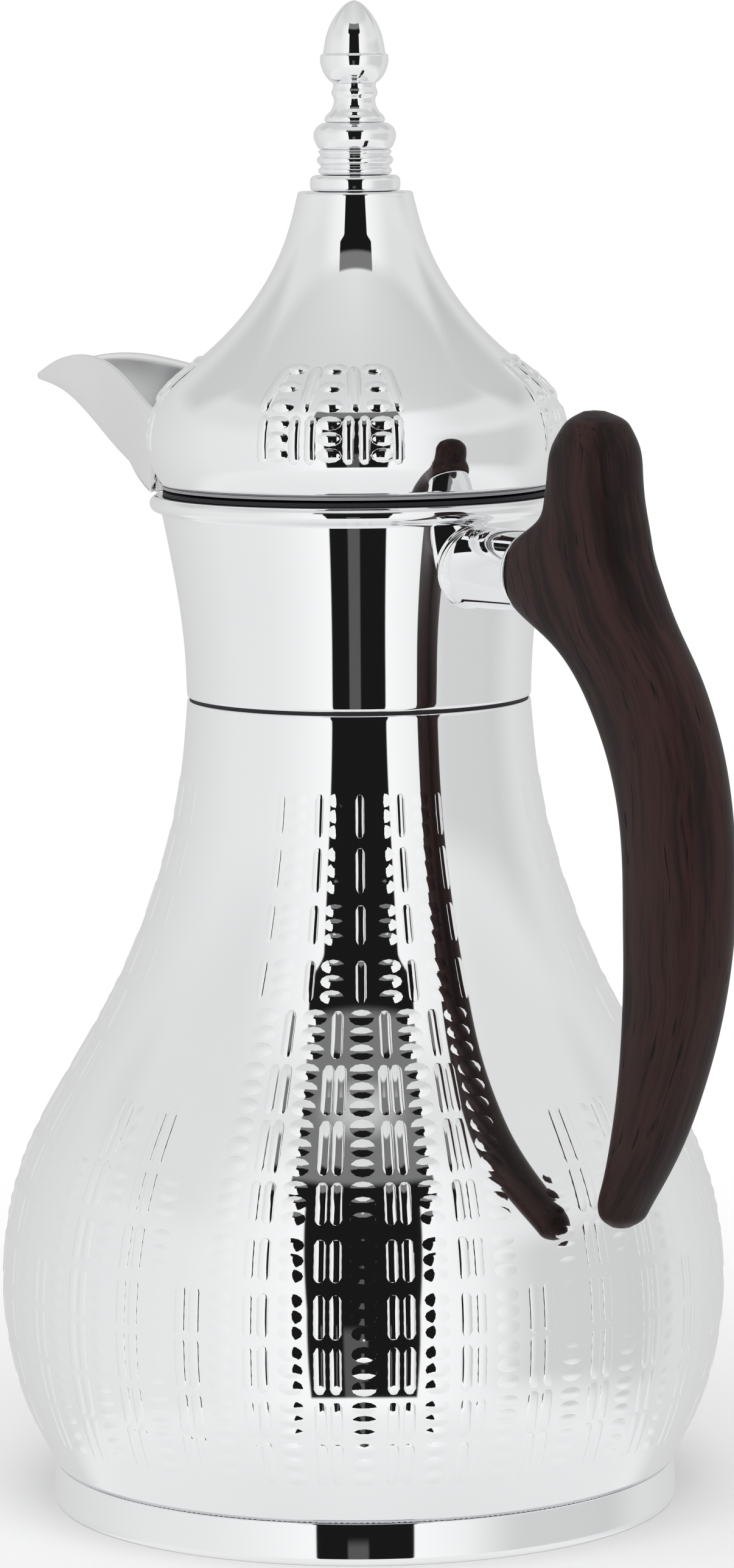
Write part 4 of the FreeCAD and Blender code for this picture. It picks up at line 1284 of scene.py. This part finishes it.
    def grip(self) -> None:
        """Grip on level superellipses: x = c + a |cos|^(2/n), y = b |sin|^(2/n).

        The exponent n is fuller at the nose, which is cut level at the face by a soft maximum,
        face + w log(1 + exp((x - face) / w)).
        """
        table = np.array(self.slices)
        low, high = table[[0, -1], 0]
        share = (1 - np.cos(np.linspace(0, np.pi, self.grip_rows))) / 2
        nose = np.linspace(*self.nose, self.nose_rows)
        z = np.sort(np.concatenate([low + (high - low) * share, nose]))
        inner, outer, half = spline(table[:, 0], table[:, 1:], z).T
        middle, deep = (outer + inner) / 2, (outer - inner) / 2
        bulge = np.exp(-(((z - self.axis) / self.nose_reach) ** 2))
        power = 2 / (self.fullness + self.nose_fullness * bulge)[:, None]
        turn = around(self.grip_points)
        c, s = (np.sign(f) * np.abs(f) ** power for f in (np.cos(turn), np.sin(turn)))
        over = (middle[:, None] + deep[:, None] * c - self.face) / self.cut_round
        x = self.face + self.cut_round * np.logaddexp(0.0, over)
        grid = np.stack([x, half[:, None] * s, z[:, None] + 0 * x], axis=-1)
        tips = [
            np.broadcast_to((middle[row], 0.0, table[row, 0] + past), (1, self.grip_points, 3))
            for row, past in zip((0, -1), self.ends)
        ]
        piece = sheet("grip_carved", np.concatenate([tips[0], grid, tips[1]]))
        self.straighten(piece, z, outer - self.heart)
        fit(piece, WOOD, Body.FLASK, "handle_grip")

    def straighten(self, piece: bpy.types.Object, z: Array, middle: Array) -> None:
        """Stores each point's place in the straightened grip, for the grain.

        The place is (distance from the middle line, thickness, run along the line).

        Args:
            piece: The grip.
            z: Heights of the middle line.
            middle: Its x at those heights.
        """
        spot = np.empty(len(piece.data.vertices) * 3, np.float32)
        piece.data.vertices.foreach_get("co", spot)
        x, y, height = spot.reshape(-1, 3).T / MM
        run = travelled(np.stack([middle, z], axis=1))
        slope = np.interp(height, z, np.gradient(middle, z))
        off = (x - np.interp(height, z, middle)) / np.sqrt(1 + slope**2)
        along = np.interp(height, z, run) + off * slope
        place = np.stack([off, y, along], axis=1) * MM
        store = piece.data.attributes.new("grain_place", "FLOAT_VECTOR", "POINT")
        store.data.foreach_set("vector", place.astype(np.float32).ravel())

    def build(self) -> None:
        """Builds the three pieces."""
        self.stub()
        self.gasket()
        self.grip()


@dataclass
class Lid:
    """Chromed lid with four panels of pressed marks in two tiers.

    Attributes:
        knots: Meridian from the edge to the foot of the knob.
        edge: Outline of the lower edge, ahead of the meridian.
        top: Outline of the top and its bore, after the meridian.
        wall: Thickness.
        facing: Angle of the first panel, in degrees.
        fullness: Exponent of the beads.
        bead_columns: Angles of the bead columns off a panel's middle, in degrees.
        low_beads: Runs of the lower tier's beads.
        high_beads: Runs of the upper tier's beads, and how far their columns close in.
        low_bars: Angles of the lower tier's bars.
        high_bars: Angles of the upper tier's bars.
        low_bar_run, high_bar_run: Runs of the bars' middles.
        bar_lean: Lean of the upper bars towards the middle, per degree off it.
        low_bead, high_bead, low_bar, high_bar: Length, width and height of the marks.
        points, segments: Points of the meridian and steps of the turn.
        coarser: How many outer points each inner point stands for.
    """

    knots: tuple[Pair, ...] = (
        (41.6, 218.3), (44.2, 224.86), (43.9, 232.19), (40.96, 238.24), (36.7, 242.1),
        (27.54, 250.14), (19.77, 259.9), (14.72, 270.25), (12.25, 279.2),
    )
    edge: tuple[Pair, ...] = ((40.5, 218.32), (41.3, 218.3))
    top: tuple[Pair, ...] = (
        (12.2, 279.55), (11.98, 279.85), (11.65, 279.98), (2.7, 279.98), (2.7, 278.8),
        (10.6, 278.8),
    )
    wall: float = 1.2
    facing: float = -45.0
    fullness: float = 3.0
    bead_columns: Row = (-14.5, 0.0, 14.5)
    low_beads: Row = (9.4, 12.8, 16.1)
    high_beads: tuple[Pair, ...] = ((20.0, 0.94), (25.1, 0.95), (30.5, 0.94))
    low_bars: Row = (-18.6, -9.55, -5.2, 5.2, 9.55, 18.6)
    high_bars: Row = (-18.4, -6.8, 6.8, 18.4)
    low_bar_run: float = 12.6
    high_bar_run: float = 24.8
    bar_lean: float = 0.010
    low_bead: Triple = (3.2, 5.5, 0.5)
    high_bead: Triple = (3.4, 5.4, 0.75)
    low_bar: Triple = (10.4, 2.7, 0.45)
    high_bar: Triple = (12.9, 3.0, 0.6)
    points: int = 120
    segments: int = 320
    coarser: int = 2

    def __post_init__(self) -> None:
        """Lays out the meridian."""
        self.meridian = Meridian(flowing(self.knots, self.points))

    def dome(self) -> None:
        """Turns the dome: meridian, rounded top, and the meridian again one wall further in."""
        outer = self.meridian.curve
        inner = beside(outer, self.wall)[:: -self.coarser]
        # the bore's shoulder takes the place of the first two inner points
        outline = np.concatenate([self.edge, outer[1:], self.top, inner[2:]])
        fit(lathe("lid_dome_polished", outline, self.segments), CHROME, Body.LID, "lid_dome")

    def panel(self, middle: float, name: str) -> None:
        """Marks of one panel: two tiers of beads between bars that close in upwards.

        Args:
            middle: Angle of its middle about the axis, in degrees.
            name: Name of the piece.
        """
        relief = Relief(self.meridian, self.fullness)
        for turn in self.bead_columns:
            for run in self.low_beads:
                relief.press(Mark.BEAD, run, middle + turn, self.low_bead)
            for run, close in self.high_beads:
                relief.press(Mark.BEAD, run, middle + turn * close, self.high_bead)
        for turn in self.low_bars:
            relief.press(Mark.DASH, self.low_bar_run, middle + turn, self.low_bar)
        for turn in self.high_bars:
            lean = -turn * self.bar_lean
            relief.press(Mark.DASH, self.high_bar_run, middle + turn, self.high_bar, lean)
        fit(relief.build(name), CHROME, Body.LID)

    def build(self) -> None:
        """Builds dome and panels."""
        self.dome()
        for quarter in range(4):
            self.panel(self.facing + 90.0 * quarter, "lid_panel_%d" % (quarter + 1))


@dataclass
class Knob:
    """Turned knob of five pieces on one rod.

    Attributes:
        bore: Radius of the bore.
        segments: Steps of the turn.
        rings: Name, CAD node, points and flank (radius, height) of each ring, from the bottom up.
        socket: Outline of the acorn's blind bore, from its end down.
        cup: Flank of the acorn's cup.
        ledge: Fine ledge over the cup.
        cone: Flank of the acorn's pointed cone, closed at the tip.
        cup_points, cone_points: Points of these flanks.
    """

    bore: float = 2.7
    segments: int = 128
    rings: tuple[tuple[str, str, int, tuple[Pair, ...]], ...] = (
        ("knob_disc", "finial_disc", 60, (
            (8.6, 280.02), (9.2, 280.2), (9.5, 280.9), (9.53, 281.8), (9.4, 282.7), (8.9, 283.2),
            (7.6, 283.38),
        )),
        ("knob_ribs", "finial_bead", 100, (
            (7.0, 283.42), (7.5, 283.75), (7.75, 284.3), (7.45, 284.9), (7.2, 285.2), (7.5, 285.6),
            (7.98, 286.2), (7.98, 286.9), (7.5, 287.4), (7.3, 287.65), (7.6, 288.0), (7.7, 288.4),
            (7.3, 288.78),
        )),
        ("knob_ring", "finial_ring", 60, (
            (7.25, 288.82), (7.6, 289.0), (8.2, 289.9), (8.62, 291.0), (8.68, 292.0), (8.3, 293.1),
            (7.5, 293.9), (6.7, 294.3), (6.3, 294.38),
        )),
        ("knob_stem", "finial_stem", 90, (
            (6.0, 294.42), (6.3, 294.7), (6.3, 295.4), (5.9, 296.0), (5.2, 296.7), (4.6, 297.8),
            (4.35, 298.9), (4.5, 299.7), (4.82, 300.3), (4.85, 300.9), (4.6, 301.5), (4.5, 302.1),
            (4.55, 302.58),
        )),
    )
    socket: tuple[Pair, ...] = ((0.0, 306.7), (2.6, 306.7), (2.7, 302.62))
    cup: tuple[Pair, ...] = (
        (4.5, 302.62), (5.1, 303.05), (6.3, 304.5), (7.0, 306.2), (7.22, 307.5), (7.15, 308.4),
    )
    ledge: tuple[Pair, ...] = ((7.0, 308.62), (6.8, 308.72), (6.62, 308.75))
    cone: tuple[Pair, ...] = (
        (6.55, 309.0), (6.4, 309.9), (6.0, 312.1), (5.5, 313.7), (4.8, 315.3), (3.9, 316.8),
        (2.7, 318.3), (1.3, 319.5), (0.0, 319.97),
    )
    cup_points: int = 40
    cone_points: int = 70

    def acorn(self) -> None:
        """Turns the acorn: blind bore, cup, ledge and cone."""
        cone = flowing(self.cone, self.cone_points)
        cone[-1, 0] = 0.0
        cup = flowing(self.cup, self.cup_points)
        outline = np.concatenate([self.socket, cup, self.ledge, cone])
        piece = lathe("knob_acorn", outline, self.segments, closed=False)
        fit(piece, CHROME, Body.LID, "finial_acorn")

    def build(self) -> None:
        """Turns disc, ribs, ring and stem, each closed on the bore, and the acorn."""
        for name, node, points, flank in self.rings:
            curve = flowing(flank, points)
            low, high = ([(self.bore, curve[end, 1])] for end in (0, -1))
            piece = lathe(name, np.concatenate([low, curve, high]), self.segments)
            fit(piece, CHROME, Body.LID, node)
        self.acorn()


class Inside:
    """Inner pieces that keep their CAD shape and get their own finishes.

    Attributes:
        FINISHES: Nodes that get each finish.
    """

    FINISHES: dict[Finish, tuple[str, ...]] = {
        BLACK: ("neck_coupling", "neck_sleeve", "base_cap", "stopper_body", "stopper_cap"),
        GREY_LIP: ("lid_liner",),
        SILICONE: ("neck_gasket", "stopper_seal"),
        RUBBER: ("base_cushion",),
        GLASS: ("glass_inner", "glass_outer"),
        FELT: ("spacer_pads",),
        FOAM: ("lid_foam", "stopper_foam"),
        STEEL: ("tie_rod", "rod_washer", "rod_nut", "handle_bolt", "saddle_washer"),
        BRASS: ("handle_insert",),
    }

    def build(self) -> None:
        """Puts a finish on each kept node."""
        for finish, nodes in self.FINISHES.items():
            for node in nodes:
                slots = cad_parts[node].data.materials
                slots.clear()
                slots.append(finish.material())
                log.info("%s: %s", node, finish.name)


# ---------------------------------------------------------------- studio


@dataclass(frozen=True)
class Tent:
    """Room that metal mirrors: bright walls, a greyer ceiling and table, and one dark slot.

    Tones are linear greys. Angles are degrees: side from the camera's direction, positive to its
    right, and rise over the horizon. A pair of angles is where a soft edge starts and ends.

    Attributes:
        wall: Tone of the walls over side, as a share of half a turn.
        table: Tone below the pot over fall, as a share of a right angle.
        table_edge, table_share: Rise of its edge, and how much of it shows.
        dusk_tone, dusk_share: Darker wall on the handle's side, and how much of it shows.
        dusk_sides, dusk_rises: Soft edges of that wall.
        upper_tone, upper_side, upper_rise: Upper side walls and their soft edges.
        ceiling: Tone of the ceiling from left to right.
        ceiling_front: How much brighter it is ahead.
        ceiling_edge: Rise of its edge.
        back_edge, back_rise: Soft edges of its lower part at the back, the first as a cosine.
        slot: Half width of the slot.
        slot_spread: How much wider it grows per degree of rise.
        slot_head, head_edge: How much wider its head is, and where that starts.
        slot_foot, slot_top, slot_soft: Lower and upper end, and half width of its soft sides.
        slot_tone, haze_tone, haze_edge: Tone inside, tone near the top, and where that starts.
        strip_side, strip_width: Side of the paler strip in the slot, and its half width.
        strip_top, strip_tone: Its upper end and its tone.
        matt: Tone that lights matt surfaces.
    """

    wall: tuple[Pair, ...] = (
        (0.0, 1.04), (0.11, 1.01), (0.183, 0.95), (0.25, 0.90), (0.333, 0.86), (0.5, 0.84),
        (0.667, 0.77), (1.0, 0.64),
    )
    table: tuple[Pair, ...] = ((0.28, 0.95), (0.45, 0.88), (0.9, 0.80))
    table_edge: Pair = (-28.0, -36.0)
    table_share: float = 0.85
    dusk_tone: float = 0.1
    dusk_share: float = 0.24
    dusk_sides: tuple[Pair, Pair] = ((34.0, 60.0), (125.0, 95.0))
    dusk_rises: tuple[Pair, Pair] = ((22.0, 10.0), (-30.0, -20.0))
    upper_tone: float = 0.78
    upper_side: Pair = (40.0, 70.0)
    upper_rise: Pair = (12.0, 30.0)
    ceiling: tuple[Pair, ...] = ((0.0, 0.64), (0.25, 0.69), (0.5, 0.73), (0.75, 0.66), (1.0, 0.55))
    ceiling_front: float = 0.14
    ceiling_edge: Pair = (42.0, 55.0)
    back_edge: Pair = (-0.2, -0.5)
    back_rise: Pair = (18.0, 34.0)
    slot: float = 17.6
    slot_spread: float = 0.1
    slot_head: float = 7.0
    head_edge: Pair = (33.0, 37.0)
    slot_foot: Pair = (-29.0, -28.0)
    slot_top: Pair = (52.5, 50.5)
    slot_soft: float = 0.4
    slot_tone: float = 0.010
    haze_tone: float = 0.20
    haze_edge: Pair = (41.0, 43.5)
    strip_side: float = -2.5
    strip_width: Pair = (4.2, 3.2)
    strip_top: Pair = (-4.0, -8.0)
    strip_tone: float = 0.10
    matt: float = 0.60

    def room(self, graph: Graph, turn: float) -> Socket:
        """Tone of the room in each direction.

        Args:
            graph: Graph of the world.
            turn: Angle of the camera about the axis from -Y towards +X, in degrees.

        Returns:
            Socket of the tone.
        """
        angle, degrees = math.radians(turn), 180 / math.pi
        sine, cosine = math.sin(angle), math.cos(angle)
        way = graph.add("TexCoord").outputs["Generated"]
        axes = ((sine, -cosine, 0), (cosine, sine, 0), (0, 0, 1))
        ahead, aside, up = (graph.vector("DOT_PRODUCT", way, axis)["Value"] for axis in axes)
        side = graph.product(graph.math("ARCTAN2", aside, ahead), degrees)
        rise = graph.product(graph.math("ARCSINE", up), degrees)
        off = graph.math("ABSOLUTE", side)
        tone = graph.grey_ramp(graph.math("DIVIDE", off, 180.0), self.wall)
        edges = [graph.step(side, *edge) for edge in self.dusk_sides]
        edges += [graph.step(rise, *edge) for edge in self.dusk_rises]
        tone = graph.tone(graph.product(self.dusk_share, *edges), tone, self.dusk_tone)
        upper = graph.product(graph.step(off, *self.upper_side), graph.step(rise, *self.upper_rise))
        tone = graph.tone(upper, tone, self.upper_tone)
        back = graph.product(graph.step(ahead, *self.back_edge), graph.step(rise, *self.back_rise))
        covered = graph.math("MAXIMUM", graph.step(rise, *self.ceiling_edge), back)
        across = graph.math("ADD", graph.product(aside, 0.5), 0.5)
        front = graph.math("ADD", graph.product(ahead, self.ceiling_front), 1.0)
        ceiling = graph.product(graph.grey_ramp(across, self.ceiling), front)
        tone = graph.tone(covered, tone, ceiling)
        table = graph.grey_ramp(graph.math("DIVIDE", rise, -90.0), self.table)
        below = graph.product(graph.step(rise, *self.table_edge), self.table_share)
        tone = graph.tone(below, tone, table)
        inside = self.slot_inside(graph, side, rise)
        return graph.tone(self.slot_share(graph, off, rise), tone, inside)

    def slot_share(self, graph: Graph, off: Socket, rise: Socket) -> Socket:
        """Where the slot is.

        Args:
            graph: Graph of the world.
            off: Side without its sign.
            rise: Rise over the horizon.

        Returns:
            Socket that is 1 in the slot.
        """
        wider = graph.product(graph.math("MAXIMUM", rise, 0.0), self.slot_spread)
        head = graph.product(graph.step(rise, *self.head_edge), self.slot_head)
        reach = graph.math("SUBTRACT", off, graph.math("ADD", wider, head))
        inside = graph.step(reach, self.slot + self.slot_soft, self.slot - self.slot_soft)
        ends = (graph.step(rise, *edge) for edge in (self.slot_foot, self.slot_top))
        return graph.product(inside, *ends)

    def slot_inside(self, graph: Graph, side: Socket, rise: Socket) -> Socket:
        """Tone inside the slot: nearly black, a paler strip low down, and haze near the top.

        Args:
            graph: Graph of the world.
            side: Side from the camera's direction.
            rise: Rise over the horizon.

        Returns:
            Socket of the tone.
        """
        near = graph.math("ABSOLUTE", graph.math("SUBTRACT", side, self.strip_side))
        strip = graph.product(
            graph.step(near, *self.strip_width), graph.step(rise, *self.strip_top)
        )
        dark = graph.tone(strip, self.slot_tone, self.strip_tone)
        return graph.tone(graph.step(rise, *self.haze_edge), dark, self.haze_tone)

    def build(self, turn: float) -> None:
        """World: white for the camera, level light for matt surfaces, the room for metal.

        Args:
            turn: Angle of the camera about the axis, in degrees.
        """
        world = bpy.data.worlds.new("tent")
        bpy.context.scene.world = world
        world.use_nodes = True
        world.node_tree.nodes.clear()
        graph = Graph(world.node_tree)
        ray = graph.add("LightPath").outputs
        mirrored = graph.math("MAXIMUM", ray["Is Glossy Ray"], ray["Is Transmission Ray"])
        seen = graph.tone(mirrored, self.matt, self.room(graph, turn))
        seen = graph.tone(ray["Is Camera Ray"], seen, 1.0)
        light = graph.add("Background", {"Color": seen, "Strength": 1.0})
        graph.add("OutputWorld", {"Surface": light.outputs[0]})


@dataclass
class Studio:
    """Pale floor, tent, soft sun, and the camera.

    Attributes:
        turn: Angle of the camera about the axis from -Y towards +X, in degrees.
        distance: Level distance of the camera from the axis.
        height: Height of the camera.
        pitch: Tilt down, in radians.
        roll: Roll, in radians.
        picture: Height of the picture in pixels.
        focus: Focal length in these pixels.
        aside: Sideways place of the axis in the picture, in pixels.
        sensor: Long side of the sensor.
        clip: Nearest and farthest distance that the camera sees, in metres.
        rings: Radii of the floor's rings, and floor_points the points on each.
        floor_depth: How far the floor lies below the foot.
        floor_tone, floor_roughness: Look of the floor.
        white: Distance at which the camera sees the floor start and end to turn white, in metres.
        sun_energy, sun_angle, sun_tilt: Strength of the sun, its width and its turn, in degrees.
    """

    turn: float = 52.5
    distance: float = 1319.386
    height: float = 313.40
    pitch: float = 0.1202
    roll: float = -0.0075
    picture: int = 2576
    focus: float = 10234.937
    aside: float = -12.04
    sensor: float = 36.0
    clip: Pair = (0.05, 100.0)
    rings: Row = (9000.0, 3000.0, 1000.0, 300.0, 100.0, 0.0)
    floor_points: int = 64
    floor_depth: float = 0.05
    floor_tone: float = 0.96
    floor_roughness: float = 0.9
    white: Pair = (0.16, 0.42)
    sun_energy: float = 1.35
    sun_angle: float = 50.0
    sun_tilt: Triple = (28.0, 6.0, 40.0)

    def camera(self) -> None:
        """Camera at the photograph's place, looking at the axis and tilted down."""
        a = math.radians(self.turn)
        lens = bpy.data.cameras.new("camera")
        lens.sensor_width = self.sensor
        lens.lens = self.focus / self.picture * self.sensor
        lens.shift_x = -self.aside / self.picture
        lens.clip_start, lens.clip_end = self.clip
        out = Vector((math.sin(a), -math.cos(a), 0.0))
        right = Vector((math.cos(a), math.sin(a), 0.0))
        back = out * math.cos(self.pitch) + Vector((0.0, 0.0, math.sin(self.pitch)))
        axes = Matrix((right, back.cross(right), back)).transposed().to_4x4()
        place = (out * self.distance + Vector((0.0, 0.0, self.height))) * MM
        eye = bpy.data.objects.new("camera", lens)
        eye.matrix_world = Matrix.Translation(place) @ axes @ Matrix.Rotation(self.roll, 4, "Z")
        bpy.context.scene.collection.objects.link(eye)
        bpy.context.scene.camera = eye

    def floor(self) -> None:
        """Wide pale floor, a disc of rings that the camera sees turn white away from the pot."""
        turn, r = around(self.floor_points), np.array(self.rings)[:, None]
        z = 0 * r * turn - self.floor_depth
        piece = sheet("floor", np.stack([r * np.cos(turn), r * np.sin(turn), z], axis=-1))
        piece.visible_glossy = False
        material, graph, shader = fresh_material("pale_floor")
        graph.feed(shader, {
            "Base Color": opaque((self.floor_tone,) * 3),
            "Roughness": self.floor_roughness,
            "Specular IOR Level": 0.0,
        })
        place = graph.add("TexCoord").outputs["Object"]
        far = graph.vector("LENGTH", place, (0, 0, 0))["Value"]
        seen = graph.add("LightPath").outputs["Is Camera Ray"]
        share = graph.product(graph.step(far, *self.white), seen)
        white = graph.add("Emission", {"Color": (1, 1, 1, 1), "Strength": 1.0})
        both = graph.add("MixShader", {0: share, 1: shader.outputs[0], 2: white.outputs[0]})
        graph.feed(graph.tree.nodes["Material Output"], {"Surface": both.outputs[0]})
        piece.data.materials.append(material)

    def sun(self) -> None:
        """Wide soft lamp from above the camera's left, left out of mirror reflections."""
        lamp = bpy.data.lights.new("soft_sun", "SUN")
        lamp.energy = self.sun_energy
        lamp.angle = math.radians(self.sun_angle)
        holder = bpy.data.objects.new("soft_sun", lamp)
        holder.rotation_euler = [math.radians(angle) for angle in self.sun_tilt]
        holder.visible_glossy = False
        bpy.context.scene.collection.objects.link(holder)

    def build(self) -> None:
        """Builds the studio and sets the plain view transform."""
        self.camera()
        self.floor()
        Tent().build(self.turn)
        self.sun()
        bpy.context.scene.view_settings.view_transform = "Standard"


def main() -> None:
    """Builds every sub-assembly in order."""
    logging.basicConfig(level=logging.INFO, format="%(name)s: %(message)s")
    collar = Collar()
    pot = (Foot(), Belly(), collar, Spout(), Handle(collar), Lid(), Knob(), Inside())
    for assembly in (*pot, Studio()):
        assembly.build()
    bpy.context.view_layer.update()


if __name__ == "__main__":
    main()
